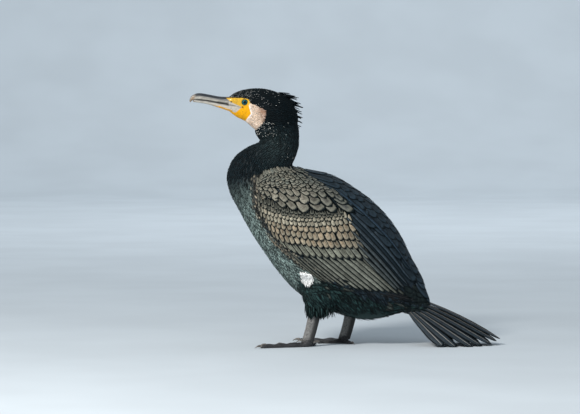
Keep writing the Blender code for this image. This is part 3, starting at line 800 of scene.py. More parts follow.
def plumage(name, rim, rim_from, tip_from, shaft, roughness, specular, barbs, band=0.0, uneven=0.0,
            band_colour=EDGE_SHEEN_BLUE):
    """Feathers: their own colour, dark rims, a pale shaft, blue bands inside the rims as a painted sheen of
    sky light, and slanting barbs.
    """
    material, tree, shader = new_material(name, roughness, specular)
    vane = tree.nodes.new("ShaderNodeUVMap")
    vane.uv_map = "vane"
    split = tree.nodes.new("ShaderNodeSeparateXYZ")
    tree.links.new(vane.outputs[0], split.inputs[0])
    across = maths(tree, "ABSOLUTE", maths(tree, "MULTIPLY_ADD", split.outputs[0], 2.0, -1.0))
    along = split.outputs[1]
    ragged = maths(tree, "MULTIPLY_ADD", noise(tree, 700, 2.0), 0.3, -0.15)
    near_side = maths(tree, "ADD", across, ragged)
    near_tip = maths(tree, "ADD", along, maths(tree, "MULTIPLY", ragged, 0.5))
    side_rim = ramp(tree, near_side, rim_from, rim_from + 0.55 * (1 - rim_from))
    tip_rim = ramp(tree, near_tip, tip_from, tip_from + 0.55 * (1 - tip_from))
    edge = maths(tree, "MULTIPLY", maths(tree, "MAXIMUM", side_rim, tip_rim), rim)
    tint = attribute(tree, "tint")
    mottle = ramp(tree, noise(tree, 520, 3.0), 0.3, 0.72, 0.62, 1.32)
    cloud = ramp(tree, noise(tree, 90, 2.0), 0.3, 0.7, 0.82, 1.18)
    slope = maths(tree, "MULTIPLY", across, barbs * 0.25)
    slant = maths(tree, "SUBTRACT", maths(tree, "MULTIPLY", along, barbs), slope)
    barb = maths(tree, "SINE", maths(tree, "MULTIPLY", slant, 6.2832))
    streak = maths(tree, "MULTIPLY", ramp(tree, barb, -1.0, 1.0, 0.84, 1.08), cloud)
    streak = maths(tree, "MULTIPLY", streak, ramp(tree, split.outputs[0], 0.1, 0.8, 1 - uneven, 1 + uneven))
    colour = brightened(tree, tint, maths(tree, "MULTIPLY", mottle, streak))
    # the band just inside the rims; in the default blue it is a painted sheen of sky light
    if band:
        lit = maths(tree, "MAXIMUM", ramp(tree, near_side, rim_from - 0.4, rim_from),
                    ramp(tree, near_tip, tip_from - 0.16, tip_from))
        colour = blended(tree, maths(tree, "MULTIPLY", lit, band), colour, band_colour)
    if shaft:
        quill = ramp(tree, across, 0.03, 0.07, shaft, 0.0)
        colour = blended(tree, quill, colour, QUILL_PALE)
    colour = blended(tree, edge, colour, RIM_TEAL)
    tree.links.new(colour, shader.inputs["Base Color"])
    ridge = maths(tree, "ADD", maths(tree, "MULTIPLY", barb, 0.35), ramp(tree, across, 0.0, 0.14, 1.0, 0.0))
    raised(tree, shader, ridge, 0.35, 0.25)
    return material


def skin_material():
    material, tree, shader = new_material("bare_skin", 0.55, 0.15)
    tint = attribute(tree, "tint")
    bare = attribute(tree, "bare", "Fac")
    spots = ramp(tree, noise(tree, 1100, 2.0), 0.52, 0.66, 0.0, 0.7)
    patchy = ramp(tree, noise(tree, 260, 2.0), 0.42, 0.62, 0.25, 0.95)
    freckle = maths(tree, "MULTIPLY", maths(tree, "MULTIPLY", spots, patchy), bare)
    colour = blended(tree, freckle, tint, FRECKLE_BROWN)
    shade = ramp(tree, noise(tree, 300, 4.0), 0.3, 0.7, 0.86, 1.1)
    tree.links.new(brightened(tree, colour, shade), shader.inputs["Base Color"])
    wrinkle = maths(tree, "ADD", pebbles(tree, 900), maths(tree, "MULTIPLY", noise(tree, 420, 3.0), 0.8))
    raised(tree, shader, wrinkle, 0.5, 0.5)
    return material


# feathers
# share along, width and bow of each row of a feather, and its points across
SHAPES = {
    "small": (((0, 0.5, 0), (0.42, 1, 0), (0.78, 0.82, 0.05), (0.95, 0.34, 0.05)), 3),
    "scale": (((0, 0.5, 0), (0.3, 0.92, 0), (0.55, 1, 0.02), (0.74, 0.9, 0.03), (0.88, 0.6, 0.04),
               (0.96, 0.2, 0.04)), 5),
    "covert": (((0, 0.4, 0), (0.25, 0.85, 0), (0.5, 1, 0), (0.72, 0.92, 0.01), (0.87, 0.64, 0.03),
                (0.96, 0.22, 0.04)), 5),
    "flight": (((0, 0.3, 0), (0.1, 0.7, 0), (0.25, 0.95, 0), (0.4, 1, 0), (0.55, 1, 0), (0.7, 1, 0),
                (0.82, 0.94, 0), (0.91, 0.76, 0), (0.965, 0.5, 0.005), (0.99, 0.2, 0.01)), 5),
    "wisp": (((0, 0.4, 0), (0.3, 1, 0), (0.6, 0.85, 0), (0.85, 0.5, 0), (1, 0.1, 0)), 3),
    "spike": (((0, 1, 0), (0.3, 0.78, 0), (0.6, 0.46, 0), (0.85, 0.2, 0), (1, 0.04, 0)), 3),
}


class Template:
    """One closed feather: points as across, along and height, and faces turned outwards."""

    def __init__(self, shape):
        rows, across = shape
        points = []
        vane = []
        for along, wide, bow in rows:
            for k in range(across):
                t = 2 * k / (across - 1) - 1
                points.append((t * wide, along + bow * (1 - t * t), 1 - abs(t)))
                vane.append(((t + 1) / 2, along / rows[-1][0]))
        self.points = np.array(points)
        self.vane = np.array(vane)
        faces = []
        flat = []
        for j in range(len(rows) - 1):
            for k in range(across - 1):
                a = j * across + k
                faces.append((a, a + 1, a + across + 1, a + across))
                flat.append(False)
            a = j * across
            faces.append((a, a + across, a + 2 * across - 1, a + across - 1))
            flat.append(True)
        faces.append(tuple(range(across - 1, -1, -1)))
        top = (len(rows) - 1) * across
        faces.append(tuple(range(top, top + across)))
        flat += [True, True]
        self.totals = np.array([len(f) for f in faces])
        self.corners = np.array([i for f in faces for i in f])
        self.flat = np.array(flat)
        self.faces = faces

    def mirrored(self):
        return np.array([i for f in self.faces for i in reversed(f)])


TEMPLATES = {name: Template(shape) for name, shape in SHAPES.items()}


class Coat:
    """Feathers gathered into one piece."""

    def __init__(self, name):
        self.name = name
        self.points = []
        self.corners = []
        self.totals = []
        self.flat = []
        self.vane = []
        self.bake = []
        self.tint = []
        self.count = 0

    def add(self, template, points, tint, roots, mirror=False):
        """points is feathers x template points x 3, in metres; tint and roots have a row a feather."""
        number, size = points.shape[:2]
        if number == 0:
            return
        if mirror:
            points = points * (1, -1, 1)
            roots = roots * (1, -1, 1)
        corners = template.mirrored() if mirror else template.corners
        offsets = self.count + np.arange(number)[:, None] * size
        self.points.append(points.reshape(-1, 3))
        self.corners.append((corners[None] + offsets).ravel())
        self.totals.append(np.tile(template.totals, number))
        self.flat.append(np.tile(template.flat, number))
        self.vane.append(np.tile(template.vane[corners], (number, 1)))
        patch = (template.vane - (0.5, 0.5)) * 0.003
        spot = bake_place(roots)[:, None] + patch[None]
        self.bake.append(spot[:, corners].reshape(-1, 2))
        self.tint.append(np.repeat(tint, size, axis=0))
        self.count += number * size

    def build(self, material, slot, replaced=()):
        points = np.concatenate(self.points)
        corners = np.concatenate(self.corners)
        totals = np.concatenate(self.totals)
        mesh = bpy.data.meshes.new(self.name)
        mesh.vertices.add(len(points))
        mesh.vertices.foreach_set("co", points.astype(np.float32).ravel())
        mesh.loops.add(len(corners))
        mesh.loops.foreach_set("vertex_index", corners.astype(np.int32))
        mesh.polygons.add(len(totals))
        starts = np.concatenate([[0], np.cumsum(totals)[:-1]])
        mesh.polygons.foreach_set("loop_start", starts.astype(np.int32))
        mesh.update(calc_edges=True)
        mesh.validate()
        for name, values in (("vane", self.vane), ("OFBake", self.bake)):
            layer = mesh.uv_layers.new(name=name)
            layer.data.foreach_set("uv", np.concatenate(values).astype(np.float32).ravel())
        sharp = mesh.attributes.new("sharp_face", "BOOLEAN", "FACE")
        sharp.data.foreach_set("value", np.concatenate(self.flat))
        obj = added(self.name, mesh)
        add_colour(obj, np.concatenate(self.tint))
        mesh.materials.append(material)
        return finish_piece(obj, replaced)


def finish_piece(obj, replaced=()):
    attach(obj, "root")
    if replaced:
        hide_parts(*replaced)
    return obj


def one_each(count, *values):
    """Each value as a column with a row for every feather."""
    return ((np.asarray(v) * np.ones(count))[:, None] for v in values)


def laid(surface, template, root, way, length, half_width, low, high, thick, tilt=0.0, skew=0.0):
    """Feather points snapped to the surface: low and high are the lifts in mm at root and tip."""
    length, half_width, low, high, thick, tilt, skew = one_each(
        len(root), length, half_width, low, high, thick, tilt, skew)
    _, normal = surface.nearest(root)
    way = unit(way - normal * (way * normal).sum(1)[:, None])
    side = np.cross(way, normal)
    t, s, h = (template.points[None, :, k] for k in range(3))
    flat = root[:, None] + way[:, None] * (s * length * MM)[..., None]
    flat = flat + side[:, None] * ((t + skew * s * s) * half_width * MM)[..., None]
    size = flat.shape[1]
    spot, up = surface.nearest(flat.reshape(-1, 3))
    lift = low + (high - low) * s ** 1.3 + h * thick + tilt * t * s
    return spot.reshape(-1, size, 3) + up.reshape(-1, size, 3) * (lift * MM)[..., None]


def loose(template, root, way, normal, length, half_width, thick, rise):
    """Feather points that stand free of the surface, curving out by rise along their length."""
    length, half_width, thick, rise = one_each(len(root), length, half_width, thick, rise)
    way = unit(way)
    side = unit(np.cross(way, normal))
    up = np.cross(side, way)
    t, s, h = (template.points[None, :, k] for k in range(3))
    out = root[:, None] + way[:, None] * (s * length * MM)[..., None]
    out = out + side[:, None] * (t * half_width * MM)[..., None]
    return out + up[:, None] * ((h * thick + rise * s * s) * MM)[..., None]


def varied(colour, count, amount=0.18):
    """The colour once a feather, lighter or darker by up to that share."""
    base = np.broadcast_to(np.asarray(colour, float), (count, 3))
    return base * (1 + amount * (chance.random((count, 1)) * 2 - 1))


# plumage of the body
# name, spacing, length, half width, lift at the tip, template, and unevenness of lie and shade of each zone
ZONES = (
    ("cheek", 1.25, 3.0, 0.75, 0.45, "small", 0.2, 0.3),
    ("face", 1.7, 4.0, 1.05, 0.6, "small", 0.2, 0.3),
    ("head", 2.2, 6.0, 1.45, 0.8, "small", 0.2, 0.3),
    ("neck", 2.7, 7.0, 1.75, 0.9, "small", 0.2, 0.5),
    ("breast", 3.9, 10.0, 2.6, 1.3, "small", 0.4, 0.6),
    ("belly", 4.6, 17.0, 3.0, 2.6, "wisp", 0.7, 0.8),
    ("thigh", 3.7, 15.0, 2.3, 2.2, "wisp", 0.5, 0.85),
    ("patch", 1.7, 8.5, 1.25, 0.9, "wisp", 0.2, 0.05),
)
ON_CHEEK, ON_FACE, ON_HEAD, ON_NECK, ON_BREAST, ON_BELLY, ON_THIGH, ON_PATCH = range(len(ZONES))
BARE = -1

# rows along the trunk where the belly ends, the legs end and the neck starts
BELLY_TO = 6.2
LEG_TO = 9
NECK_FROM = 12.4

# limits of the legs, of the feathers under the wings, and of the bare front of the face and vent
LEG_X = (-90, 62)
LEG_Z = (60, 92)
LEG_HALF = 30
PATCH_OUT = 15
WING_TO = 12.3
FACE_TO = -128
BARE_FRONT = -188
BARE_VENT = 140
EYE_GAP = 6.3


def zone_of(points):
    """Which zone each point belongs to, as an index into ZONES, or BARE for none."""
    p = np.asarray(points) / MM
    xz = p[:, (0, 2)]
    trunk, _, share = body_place(points)
    u = SPINE_STEPS[trunk]
    _, cheek, lores, throat, gape, _ = face_marks(points)
    eye = np.hypot(p[:, 0] - EYE[0], p[:, 2] - EYE[2])
    zone = np.full(len(p), ON_BREAST)
    zone = np.where(u > NECK_FROM, ON_NECK, zone)
    zone = np.where(u < BELLY_TO, ON_BELLY, zone)
    near_leg = np.minimum(np.abs(p[:, 1] + LEG_SPREAD), np.abs(p[:, 1] - LEG_SPREAD)) < LEG_HALF
    leg = near_leg & (p[:, 2] < LEG_Z[1]) & (p[:, 0] > LEG_X[0]) & (p[:, 0] < LEG_X[1])
    zone = np.where(leg & (u < LEG_TO), ON_THIGH, zone)
    zone = np.where((within(xz, PATCH, 0.5) > 0.5) & (np.abs(p[:, 1]) > PATCH_OUT), ON_PATCH, zone)
    zone = np.where(share > 0.5, ON_HEAD, zone)
    zone = np.where((share > 0.5) & (p[:, 0] < FACE_TO), ON_FACE, zone)
    zone = np.where(cheek > 0.5, ON_CHEEK, zone)
    bare = np.maximum.reduce([lores, throat, gape])
    front = (p[:, 0] < BARE_FRONT) & (share > 0.5)
    zone = np.where((bare > 0.4) | (eye < EYE_GAP) & (share > 0.5) | front, BARE, zone)
    wing = (within(xz, WING_OUTLINE, 0.5) > 0.5) & (share < 0.5) & (u < WING_TO)
    deep = within(xz - (20, 0), WING_OUTLINE, 0.5) * within(xz - (0, 9), WING_OUTLINE, 0.5) > 0.5
    zone = np.where(wing & deep, BARE, zone)
    return np.where((p[:, 0] > BARE_VENT) | leg & (p[:, 2] <= LEG_Z[0]), BARE, zone)


def dress_body(surface, coats):
    for index, (name, spacing, length, half, lift, shape, spread, shade) in enumerate(ZONES):
        root, _ = surface.scatter(spacing, lambda points: zone_of(points) == index)
        count = len(root)
        if count == 0:
            continue
        way = feather_way(root) + (chance.random((count, 3)) - 0.5) * spread
        colour = body_colour(root)
        size = np.ones(count)
        low = -0.25
        if name == "cheek":
            marks = face_marks(root)
            colour = mix(marks[0], CHEEK_BROWN, (chance.random(count) < 0.16) * 0.55)
            colour = mix(colour, RIM_WHITE, np.maximum(marks[5], chance.random(count) * 0.35))
        if name in ("thigh", "patch"):
            way = way + (0.1, 0, -0.9)
            size = 0.8 + 0.5 * chance.random(count)
        if name == "patch":
            colour = np.broadcast_to(PATCH_WHITE, (count, 3))
            way = way + (-0.1, 0, -0.5)
            low = 0.9
        if name == "breast":
            size = 1 - 0.3 * smooth_step(9, 12.5, SPINE_STEPS[body_place(root)[0]])
            edge = within(root[:, (0, 2)] / MM, WING_OUTLINE, 6.0) * (chance.random(count) < 0.5)
            colour = mix(colour, LESSER_BROWN, edge * 0.8)
        if name == "belly":
            size = 0.75 + 0.5 * chance.random(count)
            colour = mix(colour, FRONT_BROWN, (chance.random(count) < 0.14) * 0.5)
        colour = varied(colour, count, shade)
        high = lift * (0.7 + 0.6 * chance.random(count))
        lean = (chance.random(count) - 0.5) * 0.3
        template = TEMPLATES[shape]
        points = laid(surface, template, root, way, length * size, half * size, low, high + low, 0.25, lean)
        coats[name].add(template, points, colour, root)


# place along the thigh, number and length of the feathers of each hem row
HEM = ((3.9, 60, 14), (4.5, 56, 11), (5.1, 40, 8))


def dress_thigh_hem(coat):
    """Loose feathers that hang over the top of each shank."""
    template = TEMPLATES["wisp"]
    for centre in ((0, -LEG_SPREAD), (FAR_LEG_BACK, LEG_SPREAD)):
        for share, number, length in HEM:
            angle = chance.uniform(-math.pi, math.pi, number)
            u = share + chance.uniform(-0.25, 0.25, number)
            root = section_points(THIGH, u, angle, 2.5, centre)
            middle = section_points(THIGH, u, angle, 99, centre)
            normal = unit((root - middle) * (1, 1, 0.2))
            way = np.array((0.12, 0, -1.0)) + normal * 0.1 + (chance.random((number, 3)) - 0.5) * 0.35
            size = length * (0.7 + 0.6 * chance.random(number))
            points = loose(template, root, way, normal, size, 2.0, 0.3, -0.6)
            coat.add(template, points, varied(THIGH_GREEN, number, 0.6), root)


# number, spread across and down the side, length, half width, colour and lie of each group of white plumes
FLECKS = (
    (120, (229, 252), (90, 97.4), 1.4, 0.34, (0.36, 0.37, 0.35), None),
    (50, (246, 280), (90, 106), 1.6, 0.3, (0.72, 0.72, 0.68), None),
    (48, (257, 274), (121, 136), 2.2, 0.33, (0.92, 0.91, 0.84), (0.62, 0, -0.78)),
    (16, (276, 297), (112, 162), 1.9, 0.26, (0.75, 0.75, 0.70), (0.3, 0, -0.95)),
)


def add_flecks(surface, coat):
    """White hair-like plumes on the crown, behind the eye, below the cheek and down the nape."""
    template = TEMPLATES["spike"]
    for number, across, down, length, half, colour, lean in FLECKS:
        x = chance.uniform(across[0], across[1], number)
        z = chance.uniform(down[0], down[1], number)
        root, _ = surface.side_hit(place(np.stack([x, z], 1)))
        root = root[root[:, 1] < -0.004]
        way = feather_way(root) if lean is None else np.broadcast_to(np.array(lean, float), root.shape)
        way = way + (chance.random((len(root), 3)) - 0.5) * 0.3
        size = length * (0.6 + 0.9 * chance.random(len(root)))
        points = laid(surface, template, root, way, size, half, 1.1, 1.35, 0.12)
        tint = varied(colour, len(root), 0.2)
        coat.add(template, points, tint, root)
        coat.add(template, points, tint, root, mirror=True)


# root x, z and tip x, z of the crest's tiers, and their half width at the root
CREST = (
    (-104, 415.5, -88, 413.5, 0.45),
    (-98, 413.5, -80, 409.5, 0.5),
    (-92, 410.5, -75.5, 405.8, 1.7),
    (-88, 404.5, -70.5, 398.2, 2.5),
    (-84.5, 398, -67, 391.3, 2.7),
    (-84, 390, -67.6, 383, 2.7),
    (-83, 381.5, -68.4, 375, 2.6),
    (-82, 374, -68.6, 367.3, 2.4),
    (-82, 365.5, -70.5, 358.4, 2.0),
)


STRANDS = 10
MAIN_STRANDS = 3


def make_crest(coat):
    """Pointed plumes that stand off the nape."""
    template = TEMPLATES["spike"]
    for x, z, tip_x, tip_z, wide in CREST:
        for strand in range(STRANDS):
            main = strand < MAIN_STRANDS
            y = (strand - 1) * 3.2 if main else chance.uniform(-10, 10)
            reach = chance.uniform(0.92, 1.05) if main else chance.uniform(0.4, 0.85)
            shift = chance.uniform(-0.9, 0.9) if main else chance.uniform(-2.5, 2.5)
            root = np.array([[x - 5 + abs(y) * 0.3, y, z + 0.5 + shift]])
            tip = np.array([[tip_x - abs(y) * 0.5, y * 0.8, tip_z + shift]])
            way = (tip - root) * reach
            length = np.linalg.norm(way)
            way = way + (0, 0, chance.uniform(-0.12, 0.12) * length)
            up = unit(np.cross(way, (0, 1, 0)))
            up = up * np.sign(up[:, 2:])
            half = wide if main else wide * 0.5
            points = loose(template, root * MM, way, up, length, half, 0.9 if main else 0.5, -0.05 * length)
            turned = points.copy()
            middle = root * MM
            turned[..., 1] = middle[0, 1] + (points[..., 1] - middle[0, 1]) * 0.5
            turned[..., 2] += (points[..., 1] - middle[0, 1]) * 0.8
            coat.add(template, turned, varied(BLACK_GREEN, 1, 0.3), root * MM)


# wings
# coat, number of feathers, line of the tips, where the first and last roots lie from their tips,
# how much closer they crowd at the front, lift, tilt, colour and template of each tier
TIERS = [
    ("flight", 5, ((402, 300), (412, 301), (422, 302), (428, 302.5)), (-56, -13), (-58, -20), 1.0,
     -1.2, 0.3, PRIMARY_BLACK, "flight"),
    ("covert", 9, ((274, 243), (282, 250), (291, 257), (303, 266)), (-7, -10), (-9, -12), 1.0,
     -0.9, 0.2, MARGIN_BROWN, "covert"),
    ("flight", 14, ((332, 281.5), (352, 288), (373, 291.5), (392, 293.5), (408, 297)), (-64, -50),
     (-52, -46), 1.2, -0.6, 0.5, SECONDARY_GREY, "flight"),
    ("covert", 19, ((281, 241), (288, 247.5), (296, 252), (306, 255), (319, 256.3), (333, 257.8),
                    (347, 258), (361, 258.5), (375, 262), (387, 269)), (-14, -17), (-14, -19), 1.1,
     0.0, 0.5, COVERT_OLIVE, "covert"),
    ("covert", 17, ((276, 237.5), (284, 240.8), (293, 242.8), (305, 244.3), (320, 246.3), (338, 247.3),
                    (355, 247), (363, 249)), (-5, -12), (-8, -14), 1.1, 0.4, 0.25, COVERT_BROWN, "scale"),
    ("covert", 17, ((271, 230), (280, 233.5), (290, 235.5), (302, 237.3), (318, 239), (338, 239.4),
                    (351, 238.8), (359, 240)), (-3, -12), (-6, -13), 1.1, 0.7, 0.2, COVERT_BROWN, "scale"),
    ("covert", 17, ((267, 223), (276, 226.5), (286, 229), (299, 230.6), (315, 231.4), (334, 231.5),
                    (348, 230.7), (354, 230.7)), (-2, -12), (-5, -12), 1.1, 0.9, 0.15, COVERT_BROWN, "scale"),
    ("covert", 23, ((263, 216.5), (271, 220), (281, 222.7), (295, 224.4), (311, 225.2), (330, 225),
                    (350, 223)),
     (-2, -9), (-3, -10), 1.05, 1.0, 0.15, LESSER_BROWN, "covert"),
    ("covert", 24, ((261, 211), (270, 214.5), (281, 217.6), (294, 219.8), (309, 220.6), (326, 220),
                    (345, 218)),
     (-1, -9), (-2, -9), 1.05, 1.0, 0.15, LESSER_BROWN, "covert"),
    # the next two rows lie under the scapulars: painted shade, and in the top row a painted shadow of the
    # slit
    ("covert", 24, ((260, 206), (269, 209.5), (280, 213.2), (294, 216), (309, 217), (325, 216.6),
                    (343, 215.6)),
     (-1, -8), (-2, -8), 1.05, 0.9, 0.15, LESSER_PAINTED_SHADE, "covert"),
    ("covert", 22, ((259.5, 201), (268, 204.5), (279, 208.8), (293, 212.6), (308, 213.8), (323, 213.6),
                    (341, 213.4)),
     (-1, -8), (-1, -8), 1.05, 0.7, 0.15, SLIT_PAINTED_SHADOW, "covert"),
    ("flight", 6, ((398, 289.5), (403, 291.3), (408, 292.6), (413, 293.6), (417.5, 294.2), (421, 294)),
     (-36, -36), (-86, -106), 1.0, 1.9, 0.5, TERTIAL_GREY, "flight"),
    ("covert", 9, ((266, 198.2), (274, 200.5), (281, 205), (292, 208.9), (305, 210.7), (318, 211.8),
                   (332, 211.8), (350, 214)), (-3, -9), (-15, -16), 1.45, 2.6, 0.3, SCAPULAR_BROWN, "scale"),
    ("covert", 10, ((262, 193.5), (271, 196.2), (281, 199.7), (293, 202.3), (308, 203.8), (325, 204.6),
                    (345, 206.5)), (-3, -8), (-14, -14), 1.45, 2.5, 0.25, SCAPULAR_BROWN, "scale"),
    ("covert", 13, ((260, 190), (270, 192), (281, 193.9), (295, 195.8), (312, 196.8), (328, 197.5),
                    (343, 200.5)), (-4, -7), (-12, -12), 1.35, 2.4, 0.2, SCAPULAR_BROWN, "scale"),
]
SMALL_SCAPULARS = 9
LOW_ROW = ((258.5, 186.5), (270, 188), (283, 189), (298, 190), (314, 191.2), (336, 194.5))
HIGH_ROW = ((265, 175.5), (274, 173.4), (284, 171.6), (293, 170.6), (299, 170.6), (305, 171.5))


def small_scapulars():
    """Tiers of small feathers from the wing's front up to the neck base."""
    tiers = []
    for row in range(SMALL_SCAPULARS):
        rise = row / (SMALL_SCAPULARS - 1)
        tips = mix(np.array(LOW_ROW), np.array(HIGH_ROW), rise)
        first = (-1, -7 + 1.5 * rise)
        last = (-6 - 2 * rise, -6 + 2 * rise)
        colour = SCAPULAR_BROWN if row < 2 else SCAPULAR_GREY
        lift = 2.3 - 0.06 * row
        tiers.append(("covert", 14 - row // 4, tips, first, last, 1.1, lift, 0.2, colour, "scale"))
    return tiers


# half width as a share of the spacing, unevenness, and how far the roots widen the spacing, by template
TIER_SHAPES = {"flight": (0.72, 0.2, 0.4), "covert": (0.62, 0.7, 0.0), "scale": (0.62, 1.0, 0.0)}
COVERT_UNEVEN = 0.55
HALF_LEAST = 2.2
HALF_MOST = 13


def run_along(line):
    """How far along a line of points each of them lies."""
    return np.concatenate([[0], np.cumsum(np.linalg.norm(np.diff(line, axis=0), axis=1))])


def spread_along(path, count, crowd):
    """Points on a smooth path, closer together at its start."""
    fine = along_path(path, 240)
    run = run_along(fine)
    want = np.linspace(0, 1, count) ** crowd * run[-1]
    return np.stack([np.interp(want, run, fine[:, k]) for k in range(2)], 1)


def make_wing(cover, coats):
    for group, number, tips, first, last, crowd, lift, tilt, colour, shape in TIERS + small_scapulars():
        template = TEMPLATES[shape]
        fill, ragged, widening = TIER_SHAPES[shape]
        if colour is COVERT_BROWN:
            ragged = COVERT_UNEVEN
        spot = spread_along(tips, number, crowd)
        offset = np.linspace(first, last, number)
        step = np.gradient(spot + offset * widening, axis=0)
        ahead = unit(-offset)
        half = np.abs(step[:, 0] * ahead[:, 1] - step[:, 1] * ahead[:, 0]) * STEP
        half = np.clip(half * fill, HALF_LEAST, HALF_MOST)
        half = half * (1 + ragged * chance.uniform(-0.14, 0.14, number))
        offset = offset + ragged * chance.uniform(-1.1, 1.1, (number, 2))
        spot = spot + ragged * chance.uniform(-0.75, 0.75, (number, 2))
        root, _ = cover.side_hit(place(spot + offset))
        tip, _ = cover.side_hit(place(spot))
        way = tip - root
        length = np.linalg.norm(way, axis=1) / MM
        tint = varied(colour, number, 0.36)
        olive = varied(COVERT_OLIVE, number) * tint.mean(1)[:, None] * 5
        tint = mix(tint, olive, chance.random(number) * 0.35)
        # half of the shaded row turns near black, more painted shadow of the slit
        if colour is LESSER_PAINTED_SHADE:
            tint = mix(tint, SLIT_PAINTED_SHADOW, (chance.random(number) < 0.5) * 0.9)
        if colour is SCAPULAR_GREY:
            tint = mix(tint, varied(SCAPULAR_BROWN, number, 0.3), chance.random(number) * 0.9)
        if colour is TERTIAL_GREY:
            tint = mix(tint, TERTIAL_BLUE, np.linspace(0, 1, number))
        scapular = colour is SCAPULAR_BROWN or colour is SCAPULAR_GREY
        if scapular:
            # towards the back and top the scapulars take the back's blue, a painted bluish shade over their
            # bronze
            painted_rear_shade = smooth_step(300, 345, spot[:, 0] + 0.8 * (200 - spot[:, 1]))
            tint = mix(tint, BACK_BLUE, painted_rear_shade * 0.7)
        if shape != "flight":
            front = 1 - smooth_step(0.0, 0.09, np.linspace(0, 1, number))
            tint = mix(tint, FRONT_BROWN, front * 0.7)
            if not scapular:
                tint = mix(tint, TERTIAL_GREY, smooth_step(350, 372, spot[:, 0]) * 0.85)
            half = half * (1 - 0.25 * front)
        skew = ragged * chance.uniform(-0.95 if colour is SCAPULAR_BROWN else -0.35, 0.0, number)
        points = laid(cover, template, root, way, length, half, lift - 1.0, lift + 0.35, 0.35, tilt, skew)
        for mirror in (False, True):
            side = "right" if mirror else "left"
            coats[f"{group}_{side}"].add(template, points, tint, root, mirror)


# the line along the wing's upper edge, in front of which no back feather reaches
RIDGE = ((296, 166), (315.3, 174), (329.3, 185.5), (342, 199.5), (354.8, 211), (367.6, 225), (380.3, 236.5),
         (390.5, 249.3), (399.4, 262), (409.6, 274.8), (421, 292.7), (426, 301))


# half width, length and step of the back's least feathers and how much the largest add to them,
# and how far round the back they spread, in degrees
BACK_HALF = (3.2, 6.8)
BACK_LENGTH = (12, 31)
BACK_STEP = (5, 10)
BACK_REACH = 75
BACK_CUT = 80
RIDGE_MARGIN = 3.0


def dress_back(cover, coat):
    """Large dark rounded feathers down the back between the wings."""
    template = TEMPLATES["scale"]
    ridge = place(RIDGE)
    steps = np.linspace(0.6, 11.9, 400)
    line = section_points(TRUNK, steps, np.zeros(400))
    run = run_along(line) / MM
    row = 0
    s = 6.0
    while s < run[-1]:
        u = np.interp(s, run, steps)
        grown = 1 - smooth_step(8.0, 12.8, u)
        half = BACK_HALF[0] + BACK_HALF[1] * grown
        length = BACK_LENGTH[0] + BACK_LENGTH[1] * grown
        width = rows_at(TRUNK, [u])[0][4]
        reach = math.radians(BACK_REACH)
        number = max(3, int(2 * reach * width * 0.85 / (half * 1.4)))
        angle = (np.arange(number) - (number - 1) / 2 + (row % 2) * 0.5) / number * 2 * reach
        angle = angle + (chance.random(number) - 0.5) * 0.04
        root = section_points(TRUNK, np.full(number, u), angle)
        ahead = section_points(TRUNK, np.full(number, u - 0.05), angle)
        tint = varied(BACK_BLUE, number, 0.3)
        size = length * (0.9 + 0.2 * chance.random(number))
        middle = (root + unit(ahead - root) * (size * 0.5 * MM)[:, None]) / MM
        behind = middle[:, 2] > np.interp(middle[:, 0], ridge[:, 0], ridge[:, 1]) + RIDGE_MARGIN
        kept = behind & (np.abs(np.degrees(angle)) < BACK_CUT)
        if kept.any():
            way = (ahead - root)[kept]
            points = laid(cover, template, root[kept], way, size[kept], half, -0.6, 1.0, 0.35)
            coat.add(template, points, tint[kept], root[kept])
        s += BACK_STEP[0] + BACK_STEP[1] * grown
        row += 1


# tail
def make_tail(coat):
    """A tented fan of stiff feathers with pale shafts, the middle pair longest and on top."""
    template = TEMPLATES["flight"]
    t, s, h = template.points.T
    for number, (x, z, y) in enumerate(TAIL_TIPS):
        share = number / (len(TAIL_TIPS) - 1)
        slope = math.radians(17 + 30 * share)
        base = np.array([104, -1.5 - 8 * share, 84 - 22 * share])
        tip = np.array([x, -y, z + 0.6])
        ahead = tip - base
        length = np.linalg.norm(ahead)
        ahead = ahead / length
        level = np.array([0, -math.cos(slope), -math.sin(slope)])
        up = unit(np.cross(level, ahead))
        if up[2] < 0:
            up = -up
        side = np.cross(ahead, up)
        wide = np.interp(s, (0, 0.35, 0.7, 1), (0.45, 0.75, 1, 1)) * 10.2
        arch = 5 * np.sin(math.pi * s) * (1 - share) - 0.6 * number
        lift = arch + h * 0.7 - 0.06 * np.abs(t) * wide
        points = base + np.outer(s * length, ahead) + np.outer(t * wide, side) + np.outer(lift, up)
        points[:, 2] = np.maximum(points[:, 2], 0.15 + 0.3 * h)
        for mirror in (False, True):
            coat.add(template, points[None] * MM, varied(TAIL_BLACK, 1, 0.15), base[None] * MM, mirror)


def dress_tail_root(surface, coat):
    root, _ = surface.scatter(6.5, lambda points: (points[:, 0] > 0.094) & (points[:, 2] < 0.1))
    way = unit(np.array([[0.8, 0, -0.45]])) + (chance.random((len(root), 3)) - 0.5) * 0.2
    tint = varied(BELLY_BLACK, len(root), 0.3)
    template = TEMPLATES["scale"]
    points = laid(surface, template, root, way, 21, 5.2, 0.0, 1.6, 0.3)
    coat.add(template, points, tint, root)


# bill
# angle from the ridge, half width, depth and drop of the groove along the bill's side
GROOVE_ANGLE = 52
GROOVE_WIDTH = 9
GROOVE_DEPTH = 0.65
GROOVE_DROP = 0.35


